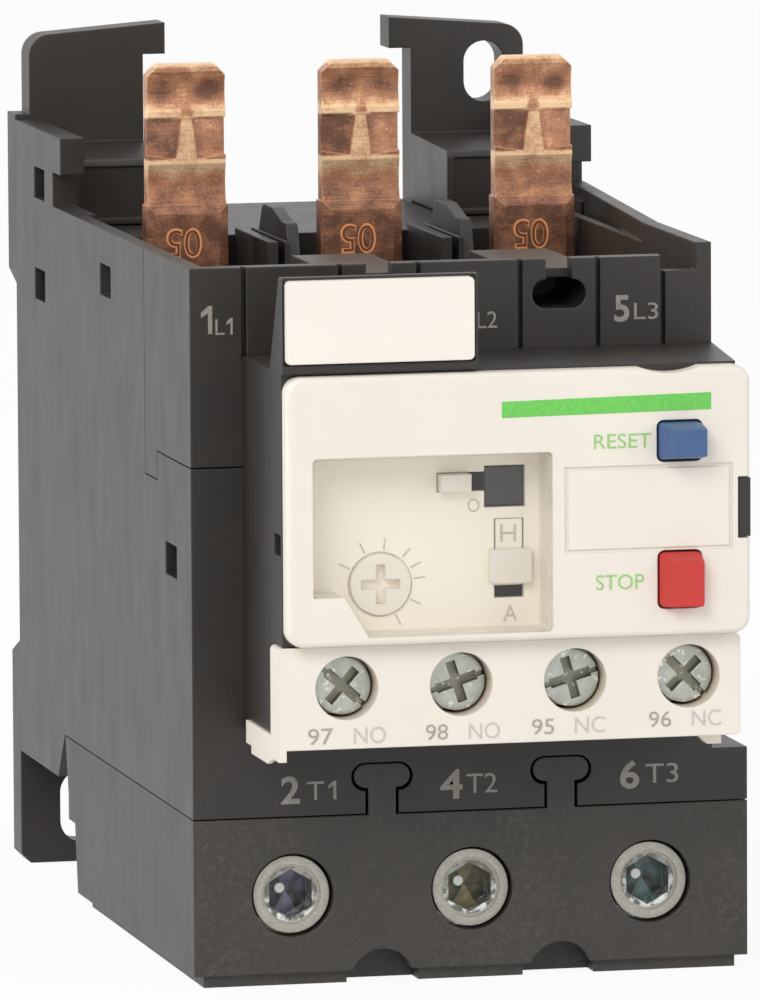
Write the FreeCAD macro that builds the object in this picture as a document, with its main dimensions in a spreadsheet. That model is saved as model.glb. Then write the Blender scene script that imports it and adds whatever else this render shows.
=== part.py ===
import FreeCAD, Part
import math
import os
import re
import Sketcher
from FreeCAD import Vector

# Three-pole thermal overload relay, 55 mm wide, with plug-in line prongs on top.
# X runs to the right, Y from the front to the mounting plate and Z upwards from the feet.
# In the sheet, depths are measured from the front plane of the housing.

SIZES = {
    # Whole relay
    "body_width": 55.0,
    "body_depth": 84.4,
    "housing_top": 69.7,
    "wall_top": 70.9,
    "shell_wall": 1.5,
    "pole_margin": 9.75,
    "partition_wall": 1.8,
    "seam_gap": 0.15,
    "front_right_margin": 3.5,
    "slant_start": 20.5,
    "slant_end": 64.0,
    "band_bottom": 16.5,
    "band_top": 21.6,
    # Main housing
    "rear_floor": 11.75,
    "rear_floor_start": 65.0,
    "rear_slope_start": 61.5,
    "shelf_top": 67.3,
    "shelf_start": 56.0,
    "recess_floor": 60.0,
    "floor_bite": 0.1,
    "deck_thick": 2.0,
    "bay_top": 46.0,
    "chamber_front": 2.0,
    "chamber_floor": 18.5,
    "barrier_thick": 1.2,
    "barrier_front": 40.2,
    "barrier_rear": 55.6,
    "barrier_top": 70.6,
    "fin_round": 1.4,
    "fin_lobe": 4.4,
    "fin_back": 2.0,
    "fin_lean": 2.4,
    "fin_brow": 69.6,
    "pocket_wall": 1.0,
    "pocket_inner": 0.45,
    "pocket_gap": 0.7,
    "pocket_front": 40.5,
    "pocket_top": 68.0,
    "chamber_crown": 4.0,
    "pocket_offset": 1.9,
    "rib_top": 69.0,
    "rib_thick": 1.0,
    "block_wall": 2.5,
    "block_start": 65.4,
    "block_nose": 61.5,
    "block_nose_low": 73.2,
    "block_top": 76.9,
    "window_low_y": 9.25,
    "window_low_z": 40.55,
    "window_mid_y": 39.55,
    "window_mid_z": 64.7,
    "window_rear_y": 72.2,
    "window_rear_z": 61.1,
    "window_block_z": 71.4,
    "window_wide": 5.2,
    "window_tall": 3.2,
    # Front upper cap
    "cap_depth": 21.2,
    "cap_foot_start": 15.4,
    "cap_line": 50.4,
    "cap_foot": 47.6,
    "cap_deck": 60.8,
    "cap_panel": 2.0,
    "cap_step_top": 68.2,
    "cap_step_reach": 4.8,
    "key_block_half": 3.85,
    "key_block_top": 68.6,
    "key_head_wide": 5.3,
    "key_head_tall": 2.8,
    "key_head_round": 1.35,
    "key_head_z": 66.3,
    "key_neck": 2.6,
    "key_depth": 12.0,
    "groove_wide": 0.5,
    "groove_deep": 0.9,
    "edge_seam_margin": 5.3,
    # Rear mounting plate
    "plate_thick": 4.0,
    "plate_corner": 1.0,
    "flange_step": 1.5,
    "flange_low_top": 21.7,
    "flange_low_end": 23.5,
    "flange_up_start": 58.2,
    "flange_up_low": 61.4,
    "flange_up_top": 77.45,
    "ear_reach": 13.4,
    "ear_margin": 1.5,
    "hook_reach": 15.7,
    "hook_under": 83.3,
    "hook_top_inner": 86.5,
    "hook_top_outer": 85.4,
    "ear_round": 2.2,
    "ear_slot_margin": 5.7,
    "ear_slot_low": 77.6,
    "ear_slot_high": 83.85,
    "ear_slot_wide": 4.2,
    "foot_slot_margin": 6.4,
    "foot_slot_low": 2.0,
    "foot_slot_high": 9.5,
    "foot_slot_wide": 4.6,
    "tower_front": 68.3,
    "tower_top": 74.0,
    "tower_rise": 0.5,
    "tower_round": 0.8,
    "tower_panel_inset": 0.3,
    "tower_panel_margin": 0.7,
    # Terminal block
    "foot_lift": 1.2,
    "block_heel": 55.6,
    "block_waist_y": 56.8,
    "block_waist_z": 8.1,
    "block_back": 59.9,
    "block_back_z": 10.5,
    "block_hook_y": 61.3,
    "foot_margin": 1.1,
    "foot_inner": 12.3,
    "foot_centre_half": 5.2,
    "foot_setback": 0.8,
    "foot_length": 53.0,
    "notch_radius": 3.25,
    "notch_depth": 12.0,
    "dovetail_neck": 2.7,
    "dovetail_head": 5.5,
    "dovetail_head_low": 19.0,
    "dovetail_head_high": 21.3,
    "dovetail_depth": 6.0,
    "dovetail_gap": 0.3,
    "well_radius": 4.05,
    "well_z": 8.8,
    "well_wall": 3.5,
    "cage_pocket_half": 6.4,
    "cage_pocket_end": 30.5,
    "cage_pocket_top": 14.6,
    # Power terminals
    "screw_head_radius": 3.75,
    "screw_head_setback": 0.7,
    "screw_head_long": 5.0,
    "screw_shank_radius": 2.4,
    "screw_end": 17.0,
    "hex_flats": 4.2,
    "hex_depth": 2.8,
    "screw_rim": 0.35,
    "screw_dish_radius": 2.925,
    "thread_gap": 0.1,
    "cage_half": 5.9,
    "cage_wall": 1.4,
    "cage_round": 0.8,
    "cage_low": 3.4,
    "cage_high": 14.2,
    "cage_front": 12.5,
    "cage_back": 29.5,
    "cage_plate": 2.0,
    "bar_half": 4.0,
    "bar_front": 17.6,
    "bar_thick": 1.8,
    "bar_low": 3.6,
    "bar_lead_z": 22.0,
    "bar_slot_gap": 0.25,
    # Bimetal strips and heaters
    "strip_y": 11.0,
    "strip_wide": 7.0,
    "strip_thick": 1.0,
    "strip_top": 43.0,
    "winding_low": 25.0,
    "winding_turns": 5,
    "winding_pitch": 2.4,
    "ribbon_tall": 1.4,
    "ribbon_thick": 0.6,
    "winding_gap": 0.35,
    "winding_round": 0.9,
    # Line prongs
    "prong_wide": 7.9,
    "prong_front": 46.2,
    "prong_thick": 2.0,
    "prong_top": 85.4,
    "prong_chamfer": 1.1,
    "prong_step_high": 80.1,
    "prong_step_low": 75.9,
    "prong_step_rise": 0.6,
    "prong_dip": 1.0,
    "prong_rib_top": 1.3,
    "prong_rib_low": 2.2,
    "prong_body_top": 71.4,
    "prong_body_extra": 0.5,
    "prong_body_side": 0.2,
    "prong_bevel": 1.0,
    "prong_hollow_radius": 5.6,
    "prong_hollow_deep": 0.35,
    "prong_hollow_high": 82.7,
    "prong_hollow_low": 73.5,
    "prong_gap": 0.2,
    "lead_low": 36.4,
    "lead_thick": 1.6,
    "lead_half": 3.0,
    # Control module
    "module_left": -22.4,
    "module_right": 24.0,
    "module_front_right": 21.9,
    "module_bottom": 25.1,
    "module_top": 61.2,
    "module_front": -17.0,
    "module_wall": 1.5,
    "module_gap": 0.1,
    "shoulder_front": -11.7,
    "holder_front": -17.8,
    "holder_top": 70.35,
    "holder_right": -3.4,
    "holder_crest": 1.6,
    "strip_seat": -13.4,
    "strip_line": 35.25,
    "module_floor": 35.3,
    "pocket_half": 3.6,
    "pocket_bottom": 27.6,
    "pocket_rear": -6.2,
    "lever_window_half": 5.0,
    "lever_window_low": 38.0,
    "lever_window_high": 43.5,
    "module_window_y": -15.1,
    "module_window_half": 1.4,
    "module_window_z": 44.8,
    # Front cover
    "cover_left": -22.3,
    "cover_right": 22.9,
    "cover_bottom": 35.3,
    "cover_top": 61.0,
    "cover_front": -19.0,
    "cover_corner": 1.6,
    "cover_edge": 0.6,
    "pan_left": -19.8,
    "pan_right": 3.5,
    "pan_bottom": 36.1,
    "pan_top": 53.25,
    "pan_floor": -13.5,
    "pan_wall": 0.7,
    "pan_step_x": -16.8,
    "pan_step_z": 40.0,
    "pan_step_low_x": -14.4,
    "pan_round": 0.4,
    "label_left": 4.7,
    "label_right": 21.1,
    "label_low": 43.5,
    "label_high": 51.7,
    "label_line": 0.3,
    "label_deep": 0.15,
    "scoop_x": 15.1,
    "scoop_radius": 8.2,
    "scoop_deep": 0.55,
    # Buttons
    "button_x": 15.93,
    "reset_z": 53.97,
    "stop_z": 40.7,
    "reset_wide": 4.1,
    "reset_tall": 3.6,
    "stop_wide": 4.0,
    "stop_tall": 5.2,
    "button_gap": 0.2,
    "button_round": 0.45,
    "button_lean": 1.0,
    "reset_draft_low": 0.5,
    "reset_draft_high": 0.5,
    "stop_draft_low": 0.1,
    "stop_draft_high": 0.9,
    "reset_proud": 2.6,
    "stop_proud": 1.6,
    "button_rear": -14.0,
    "stem_radius": 1.4,
    "stem_rear": -6.2,
    "collar_radius": 2.3,
    "collar_thick": 1.0,
    "button_spring_radius": 1.7,
    "spring_wire": 0.22,
    "spring_turns": 5,
    # Setting dial
    "dial_x": -12.09,
    "dial_z": 40.5,
    "dial_radius": 2.95,
    "dial_gap": 0.15,
    "dial_proud": 0.35,
    "dial_rear": -12.0,
    "dial_shaft_radius": 1.4,
    "dial_shaft_rear": -3.4,
    "dial_cam_throw": 0.8,
    "dial_cam_radius": 2.6,
    "dial_cam_thick": 1.6,
    "dial_cross": 0.9,
    "dial_cross_long": 3.8,
    "dial_cross_deep": 0.9,
    # Setting cover
    "flap_gap": 0.2,
    "flap_thick": 0.9,
    "flap_setback": 0.15,
    "flap_pin_radius": 0.3,
    "flap_pin_gap": 0.06,
    "flap_pin_reach": 0.35,
    "flap_pin_room": 0.1,
    "flap_edge": 0.85,
    # Selector, indicator and test button
    "selector_x": 0.53,
    "selector_z": 41.9,
    "selector_wide": 4.1,
    "selector_tall": 3.3,
    "selector_round": 0.3,
    "selector_shoulder": 0.4,
    "selector_proud": 0.9,
    "selector_slot_wide": 2.9,
    "selector_slot_low": 38.8,
    "selector_slot_high": 46.4,
    "selector_stem_wide": 2.6,
    "selector_travel": 1.6,
    "selector_back": 0.8,
    "selector_back_wide": 4.1,
    "selector_back_over": 0.5,
    "slide_gap": 0.05,
    "indicator_left": -6.5,
    "indicator_wide": 3.1,
    "indicator_slot_wide": 4.7,
    "indicator_low": 49.1,
    "indicator_high": 50.95,
    "indicator_proud": 1.3,
    "indicator_foot": 0.6,
    "indicator_back": 0.7,
    "test_left": -1.87,
    "test_right": 2.13,
    "test_low": 47.5,
    "test_high": 51.5,
    "test_gap": 0.15,
    "test_flange": 0.5,
    "test_front": -13.1,
    "test_rear": -10.9,
    # Terminal strip and auxiliary terminals
    "strip_left": -22.8,
    "strip_right": 22.35,
    "strip_bottom": 25.3,
    "strip_face": -17.0,
    "strip_corner": 0.5,
    "clip_top": 26.4,
    "clip_toe": 24.2,
    "clip_low": 23.45,
    "clip_heel": 24.2,
    "clip_bend": -12.0,
    "clip_rear": -2.5,
    "clip_barb": 2.3,
    "clip_thick": 0.4,
    "strip_tab_wide": 0.75,
    "foot_tab_left": 17.9,
    "foot_tab_right": 21.0,
    "foot_tab_slope": 1.7,
    "foot_tab_deep": 1.6,
    "well_pitch": 11.15,
    "well_first": -16.17,
    "aux_z": 31.1,
    "aux_well_radius": 3.05,
    "aux_head_radius": 2.75,
    "aux_head_front": -15.0,
    "aux_head_long": 2.0,
    "aux_shank_radius": 1.6,
    "aux_shank_room": 0.5,
    "aux_shank_end": -6.6,
    "aux_slot_wide": 0.5,
    "aux_slot_deep": 0.7,
    "aux_cross_wide": 0.95,
    "aux_cross_deep": 1.3,
    "aux_cross_reach": 2.05,
    "aux_turn_1": -41,
    "aux_turn_2": 18,
    "aux_turn_3": 16,
    "aux_turn_4": -46,
    "clamp_half": 2.9,
    "clamp_thick": 0.9,
    "contact_front": -9.4,
    "contact_thick": 1.1,
    "contact_room_drop": 0.6,
    "contact_way_drop": 3.0,
    "contact_drop": 0.8,
    "contact_arm_drop": 2.4,
    "contact_half": 2.8,
    "contact_low": 28.2,
    "contact_arm": 1.3,
    "contact_no_top": 44.9,
    "contact_nc_under": 47.6,
    "contact_nc_top": 49.0,
    "nc_arm_right": 20.0,
    "contact_tab": 3.4,
    "marker_left": -22.15,
    "marker_right": -3.85,
    "marker_low": 62.2,
    "marker_high": 70.1,
    "marker_front": -18.2,
    "marker_thick": 0.9,
    "marker_gap": 0.02,
    "marker_corner": 0.5,
    # Trip mechanism
    "slider_low": 39.2,
    "slider_high": 41.6,
    "slider_bar": 2.0,
    "slider_clear": 0.4,
    "slider_left_over": 3.65,
    "slider_right_over": 2.85,
    "slider_finger": 1.6,
    "finger_reach": 2.45,
    "slider_arm_half": 1.5,
    "slider_arm_front": -4.4,
    "slider_arm_bite": 0.5,
    "lever_x": -4.0,
    "lever_z": 54.0,
    "lever_front": -4.9,
    "lever_thick": 1.6,
    "lever_arm": 1.2,
    "lever_foot": 39.4,
    "lever_reach": 6.0,
    "lever_pin_radius": 1.1,
    "lever_pin_bite": 0.4,
    "lever_hub_radius": 2.2,
    "lever_pin_gap": 0.08,
    "carrier_low": 48.2,
    "carrier_high": 50.6,
    "carrier_front": -7.9,
    "carrier_rear": -5.2,
    "bridge_low": 46.0,
    "bridge_high": 47.5,
    "bridge_front": -10.0,
    "bridge_post": 0.8,
    "bridge_end_gap": 0.3,
    "bridge_rear": -8.1,
    "bridge_holder": 2.0,
    "nose_wide": 1.8,
    "latch_low": 44.6,
    "latch_high": 50.2,
    "latch_front": -18.9,
    "latch_rear": -15.8,
    "latch_left": 21.8,
    "latch_thick": 1.1,
}

# Places that follow from the sizes above.
DERIVED = {
    "half_width": "body_width / 2",
    "pole_pitch": "half_width - pole_margin",
    "half_pitch": "pole_pitch / 2",
    "key_offset": "half_pitch",
    "prong_way_half": "prong_wide / 2 + prong_body_side + prong_gap",
    "front_right_x": "half_width - front_right_margin",
    "cap_step_x": "front_right_x - cap_step_reach",
    "edge_seam_x": "half_width - edge_seam_margin",
    "plate_inset": "half_width - flange_step",
    "ear_inner": "half_width - ear_reach",
    "ear_outer": "half_width - ear_margin",
    "hook_inner": "half_width - hook_reach",
    "ear_slot_x": "half_width - ear_slot_margin",
    "foot_slot_x": "half_width - foot_slot_margin",
    "foot_outer": "half_width - foot_margin",
    "front_y": "(body_depth + plate_thick + cover_front - reset_proud) * -0.5",
    "rib_outer": "front_right_x - shell_wall + rib_thick",
    "chamber_top": "recess_floor - deck_thick",
    "recess_front": "cap_depth + shell_wall",
    "screw_head_rear": "screw_head_setback + screw_head_long",
    "cage_inner_front": "cage_front + cage_plate",
    "cage_inner_back": "cage_back - cage_plate",
    "bar_rear": "bar_front + bar_thick",
    "strip_front": "strip_y - strip_wide / 2",
    "strip_rear": "strip_y + strip_wide / 2",
    "lead_high": "lead_low + lead_thick",
    "contact_rear": "contact_front + contact_thick",
    "clamp_front": "aux_head_front + aux_head_long",
    "clamp_rear": "clamp_front + clamp_thick",
    "stem_spring_end": "-module_wall",
    "flap_axis_x": "pan_right - flap_edge",
    "flap_axis_y": "cover_front + flap_setback + flap_thick / 2",
    "slider_left": "-pole_pitch - slider_left_over",
    "slider_right": "pole_pitch + slider_right_over",
    "slider_front_y": "strip_front - slider_clear - slider_bar",
    "slider_rear_y": "strip_rear + slider_clear",
}

POLES = (("1", "-pole_pitch"), ("2", "0"), ("3", "pole_pitch"))
SIDES = (("left", "-1"), ("right", "1"))
WELLS = tuple((str(number + 1), f"well_first + {number} * well_pitch") for number in range(4))

document = FreeCAD.newDocument("OverloadRelay")
sheet = document.addObject("Spreadsheet::Sheet", "Sizes")
kept = []


def fill_sheet():
    for row, (alias, value) in enumerate(SIZES.items(), start=1):
        sheet.set(f"A{row}", alias.replace("_", " "))
        sheet.set(f"B{row}", str(value))
        sheet.setAlias(f"B{row}", alias)
    document.recompute()


def cells(text):
    """Turn a formula of plain size names into one that reads the sheet."""
    def named(match):
        word = match.group(0)
        if word in DERIVED:
            return "(" + cells(DERIVED[word]) + ")"
        if word in SIZES:
            return "Sizes." + word
        return word
    return re.sub(r"\b[a-z][a-z0-9_]*\b", named, text)


def amount(text):
    """The present value of a formula, in millimetres."""
    return float(sheet.evalExpression(cells(text)))


def bind(thing, place, text):
    thing.setExpression(place, cells(text))


def locate(thing, x, y, z):
    bind(thing, "Placement.Base.x", x)
    bind(thing, "Placement.Base.y", f"front_y + ({y})")
    bind(thing, "Placement.Base.z", z)


def block(name, x, y, z):
    """A box between two formulas on each axis."""
    box = document.addObject("Part::Box", name)
    for size, (low, high) in zip(("Length", "Width", "Height"), (x, y, z)):
        bind(box, size, f"({high}) - ({low})")
    locate(box, x[0], y[0], z[0])
    return box


TURNS = {
    "x": FreeCAD.Rotation(Vector(0, 1, 0), 90),
    "y": FreeCAD.Rotation(Vector(1, 0, 0), -90),
    "z": FreeCAD.Rotation(),
}


def rod(name, axis, radius, start, end, centre):
    """A cylinder along an axis; centre gives its place on the other two axes."""
    cylinder = document.addObject("Part::Cylinder", name)
    bind(cylinder, "Radius", radius)
    bind(cylinder, "Height", f"({end}) - ({start})")
    cylinder.Placement = FreeCAD.Placement(Vector(), TURNS[axis])
    base = list(centre)
    base.insert("xyz".index(axis), start)
    locate(cylinder, *base)
    return cylinder


def corner_arc(before, corner, after, radius):
    """Tangent points and arc that round a corner of the present outline."""
    toward = Vector(*before, 0) - Vector(*corner, 0)
    away = Vector(*after, 0) - Vector(*corner, 0)
    toward.normalize()
    away.normalize()
    half = toward.getAngle(away) / 2
    reach = radius / math.tan(half)
    middle = toward + away
    middle.normalize()
    point = Vector(*corner, 0)
    centre = point + middle * (radius / math.sin(half))
    enter = point + toward * reach
    leave = point + away * reach
    left_turn = toward.cross(away).z < 0
    first, last = (enter, leave) if left_turn else (leave, enter)
    angles = [math.atan2(spot.y - centre.y, spot.x - centre.x) for spot in (first, last)]
    if angles[1] < angles[0]:
        angles[1] += 2 * math.pi
    arc = Part.ArcOfCircle(Part.Circle(centre, Vector(0, 0, 1), radius), *angles)
    return enter, leave, arc, left_turn


def draw(sketch, outline):
    """Closed outline of straight sides; a corner with a third formula is rounded by it."""
    spots = [(amount(corner[0]), amount(corner[1])) for corner in outline]
    count = len(outline)
    rounds = {}
    for index, corner in enumerate(outline):
        if len(corner) > 2:
            rounds[index] = corner_arc(
                spots[index - 1], spots[index], spots[(index + 1) % count], amount(corner[2]))
    lines = []
    for index in range(count):
        after = (index + 1) % count
        start = rounds[index][1] if index in rounds else Vector(*spots[index], 0)
        end = rounds[after][0] if after in rounds else Vector(*spots[after], 0)
        lines.append(sketch.addGeometry(Part.LineSegment(start, end)))

    def fix(geometry, position, index):
        for kind, text in zip(("DistanceX", "DistanceY"), outline[index][:2]):
            value = amount(text)
            number = sketch.addConstraint(
                Sketcher.Constraint(kind, -1, 1, geometry, position, value))
            name = f"{kind}{index}"
            sketch.renameConstraint(number, name)
            bind(sketch, f"Constraints.{name}", text)

    for index, corner in enumerate(outline):
        incoming = lines[index - 1]
        outgoing = lines[index]
        if index not in rounds:
            sketch.addConstraint(Sketcher.Constraint("Coincident", incoming, 2, outgoing, 1))
            fix(outgoing, 1, index)
            continue
        _, _, arc, left_turn = rounds[index]
        curve = sketch.addGeometry(arc)
        ends = (1, 2) if left_turn else (2, 1)
        point = sketch.addGeometry(Part.Point(Vector(*spots[index], 0)), True)
        sketch.addConstraint(Sketcher.Constraint("Tangent", incoming, 2, curve, ends[0]))
        sketch.addConstraint(Sketcher.Constraint("Tangent", outgoing, 1, curve, ends[1]))
        sketch.addConstraint(Sketcher.Constraint("PointOnObject", point, 1, incoming))
        sketch.addConstraint(Sketcher.Constraint("PointOnObject", point, 1, outgoing))
        number = sketch.addConstraint(Sketcher.Constraint("Radius", curve, amount(corner[2])))
        sketch.renameConstraint(number, f"Radius{index}")
        bind(sketch, f"Constraints.Radius{index}", corner[2])
        fix(point, 1, index)


def prism(name, plane, outline, start, end):
    """A padded sketch on one of its body's origin planes, from start to end along the normal."""
    body = document.addObject("PartDesign::Body", name)
    sketch = body.newObject("Sketcher::SketchObject", name + "_sketch")
    origin = [f for f in body.Origin.OriginFeatures if f.Role == plane + "_Plane"][0]
    sketch.AttachmentSupport = [(origin, "")]
    sketch.MapMode = "FlatFace"
    draw(sketch, outline)
    pad = body.newObject("PartDesign::Pad", name + "_pad")
    pad.Profile = sketch
    pad.Reversed = plane == "XZ"
    bind(pad, "Length", f"({end}) - ({start})")
    shift = {"XY": ("0", "0", start), "XZ": ("0", start, "0"), "YZ": (start, "0", "0")}[plane]
    locate(body, *shift)
    return body


def soften(body, radius, chosen):
    """Fillet the edges of a padded body that the test picks."""
    document.recompute()
    tip = body.Tip
    edges = [f"Edge{n}" for n, edge in enumerate(tip.Shape.Edges, start=1) if chosen(edge)]
    fillet = body.newObject("PartDesign::Fillet", body.Name + "_fillet")
    fillet.Base = (tip, edges)
    bind(fillet, "Radius", radius)
    return body


def fuse(name, *things):
    union = document.addObject("Part::MultiFuse", name)
    union.Shapes = list(things)
    union.Refine = True
    return union


def common(name, *things):
    shared = document.addObject("Part::MultiCommon", name)
    shared.Shapes = list(things)
    return shared


def cut(name, base, *tools):
    difference = document.addObject("Part::Cut", name)
    difference.Base = base
    difference.Tool = tools[0] if len(tools) == 1 else fuse(name + "_tools", *tools)
    difference.Refine = True
    return difference


def group(name, *things):
    compound = document.addObject("Part::Compound", name)
    compound.Links = list(things)
    return compound


def keep(label, thing):
    """Give a finished sub-part the name that its file takes."""
    thing.Label = label
    kept.append(thing)
    return thing


def mirrored(x, sign):
    """A range on X, mirrored when the sign is -1."""
    low, high = x
    return (f"-({high})", f"-({low})") if sign == "-1" else (low, high)


def rectangle(u, v):
    return [(u[0], v[0]), (u[1], v[0]), (u[1], v[1]), (u[0], v[1])]


def rounded(u, v, radius):
    return [corner + (radius,) for corner in rectangle(u, v)]


def slot(name, low, high, wide, x, y):
    """An upright slot through a plate, with round ends."""
    reach = f"({wide}) / 2"
    middle = block(name + "_middle", (f"{x} - {reach}", f"{x} + {reach}"), y,
                   (f"({low}) + {reach}", f"({high}) - {reach}"))
    foot = rod(name + "_foot", "y", reach, *y, (x, f"({low}) + {reach}"))
    head = rod(name + "_head", "y", reach, *y, (x, f"({high}) - {reach}"))
    return fuse(name, middle, foot, head)


def mushroom(name, x, neck, head, neck_low, head_low, head_high, y):
    """A flat round-ended head on a narrow neck, seen from the front."""
    radius = f"(({head_high}) - ({head_low})) / 2"
    level = f"(({head_high}) + ({head_low})) / 2"
    reach = f"(({head}) / 2 - {radius})"
    stalk = block(name + "_neck", (f"{x} - ({neck}) / 2", f"{x} + ({neck}) / 2"), y, neck_low)
    middle = block(name + "_middle", (f"{x} - {reach}", f"{x} + {reach}"), y,
                   (head_low, head_high))
    ends = [rod(f"{name}_{side}_end", "y", radius, *y, (f"{x} + ({sign}) * {reach}", level))
            for side, sign in SIDES]
    return fuse(name, stalk, middle, *ends)


def turned_bar(name, centre, turn, reach, wide, y):
    """A straight bar through a centre, turned by an angle in degrees, as seen from the front."""
    x, z = centre
    corners = []
    for along, across in (("-1", "-1"), ("1", "-1"), ("1", "1"), ("-1", "1")):
        run = f"{along} * ({reach})"
        rise = f"{across} * ({wide}) / 2"
        corners.append((f"{x} + {run} * cos({turn}) - {rise} * sin({turn})",
                        f"{z} + {run} * sin({turn}) + {rise} * cos({turn})"))
    return prism(name, "XZ", corners, *y)


def slanted_plan(name, inset, z, front="-1"):
    """Plan of the housing inside its walls, whose right side slants outwards to the rear."""
    right = f"front_right_x - {inset}"
    outline = [
        (f"-half_width + {inset}", front),
        (right, front),
        (right, "slant_start"),
        (f"half_width - {inset}", "slant_end"),
        (f"half_width - {inset}", "body_depth + plate_thick"),
        (f"-half_width + {inset}", "body_depth + plate_thick"),
    ]
    return prism(name, "XY", outline, *z)


def main_housing():
    profile = [
        ("0", "band_bottom"),
        ("rear_slope_start", "band_bottom"),
        ("rear_floor_start", "rear_floor"),
        ("body_depth", "rear_floor"),
        ("body_depth", "housing_top"),
        ("cap_depth", "housing_top"),
        ("cap_depth", "cap_foot"),
        ("cap_foot_start", "cap_foot"),
        ("cap_foot_start", "cap_line"),
        ("0", "cap_line"),
    ]
    solid = prism("housing_solid", "YZ", profile, "-half_width", "half_width")
    plan = slanted_plan("housing_plan", "0", ("band_top", "block_top + 1"))
    band = block("housing_band", ("-half_width", "half_width"), ("-1", "body_depth + 1"),
                 ("rear_floor - 1", "band_top"))
    shell = common("housing_shell", solid, fuse("housing_outline", plan, band))

    raised = []
    for side, sign in SIDES:
        outline = [
            ("block_start", "housing_top - shell_wall"),
            ("body_depth", "housing_top - shell_wall"),
            ("body_depth", "block_top"),
            ("block_nose", "block_top"),
            ("block_nose", "block_nose_low"),
            ("block_start", "block_nose_low"),
        ]
        wall = mirrored(("half_width - block_wall", "half_width"), sign)
        raised.append(prism(f"housing_{side}_block", "YZ", outline, *wall))

    # Pole recesses open at the top, and heater chambers open at the bottom.
    pole_walls = []
    for side, sign in SIDES:
        half = "partition_wall / 2"
        centre = f"{sign} * half_pitch"
        pole_walls.append(block(
            f"housing_{side}_partition", (f"{centre} - {half}", f"{centre} + {half}"),
            ("0", "body_depth"), ("band_bottom", "pocket_top - chamber_crown")))
    recess = common(
        "housing_recess",
        slanted_plan("housing_recess_plan", "shell_wall", ("recess_floor", "block_top + 1")),
        block("housing_recess_reach", ("-half_width", "half_width"),
              ("cap_depth - 1", "shelf_start"), ("recess_floor", "block_top + 1")))
    shelf = block("housing_shelf", ("-half_width + block_wall", "half_width - block_wall"),
                  ("shelf_start - 1", "body_depth + 1"), ("shelf_top", "block_top + 1"))
    low_side = block("housing_chamber_low",
                     ("-half_width", "half_width"),
                     ("chamber_front", "body_depth - shell_wall"),
                     ("chamber_floor", "bay_top"))
    high_side = block("housing_chamber_high",
                      ("-half_width", "half_width"),
                      ("recess_front", "body_depth - shell_wall"),
                      ("bay_top - 1", "chamber_top"))
    bottom = block("housing_bottom_mouth",
                   ("-half_width", "half_width"),
                   ("dovetail_depth + dovetail_gap + shell_wall", "rear_slope_start - shell_wall"),
                   ("rear_floor - 1", "chamber_floor + 1"))
    chamber = common(
        "housing_chamber",
        fuse("housing_chamber_reach", low_side, high_side, bottom),
        slanted_plan("housing_chamber_plan", "shell_wall", ("rear_floor - 1", "block_top")))
    hollow = cut("housing_hollow", fuse("housing_hollows", recess, chamber),
                 *pole_walls)
    raise_z = ("housing_top - shell_wall", "wall_top")
    raised.append(cut(
        "housing_right_wall",
        common("housing_right_wall_reach",
               slanted_plan("housing_right_wall_plan", "0", raise_z),
               block("housing_right_wall_zone", ("0", "half_width"),
                     ("cap_depth", "block_start"), raise_z)),
        slanted_plan("housing_right_wall_inner", "shell_wall", raise_z)))
    rib = block("housing_side_rib", ("rib_outer - rib_thick", "rib_outer"),
                ("cap_depth", "shelf_start"), ("recess_floor", "rib_top"))

    slider_y = ("slider_front_y - slider_clear", "slider_rear_y + slider_bar + slider_clear")
    tools = [hollow, shelf]
    tools.append(block("housing_slider_way",
                       ("-half_pitch - partition_wall", "half_pitch + partition_wall"),
                       slider_y, ("slider_low - slider_clear", "slider_high + slider_clear")))
    tools.append(block("housing_lever_way",
                       ("-lever_window_half", "lever_window_half"), ("-1", "chamber_front + 1"),
                       ("lever_window_low", "lever_window_high")))
    for number, x in POLES:
        tools.append(block(f"housing_prong_way_{number}",
                           (f"{x} - prong_way_half", f"{x} + prong_way_half"),
                           ("prong_front - prong_body_extra - prong_gap",
                            "prong_front + prong_thick + prong_gap"),
                           ("chamber_top - 1", "recess_floor + 1")))
    for side, sign in SIDES:
        tools.append(mushroom(f"housing_{side}_dovetail", f"{sign} * half_pitch",
                              "dovetail_neck + 2 * dovetail_gap",
                              "dovetail_head + 2 * dovetail_gap",
                              ("band_bottom - 1", "dovetail_head_low + 1"),
                              "dovetail_head_low - dovetail_gap",
                              "dovetail_head_high + dovetail_gap / 2",
                              ("-1", "dovetail_depth + dovetail_gap")))
        wall = mirrored(("half_width - shell_wall - 2", "half_width + 1"), sign)
        for place, y, z in (("low", "window_low_y", "window_low_z"),
                            ("mid", "window_mid_y", "window_mid_z"),
                            ("rear", "window_rear_y", "window_rear_z"),
                            ("block", "window_rear_y", "window_block_z")):
            if side == "right" and place in ("low", "mid"):
                continue
            tools.append(block(f"housing_{side}_{place}_window", wall,
                               (f"{y} - window_wide / 2", f"{y} + window_wide / 2"),
                               (f"{z} - window_tall / 2", f"{z} + window_tall / 2")))

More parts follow.
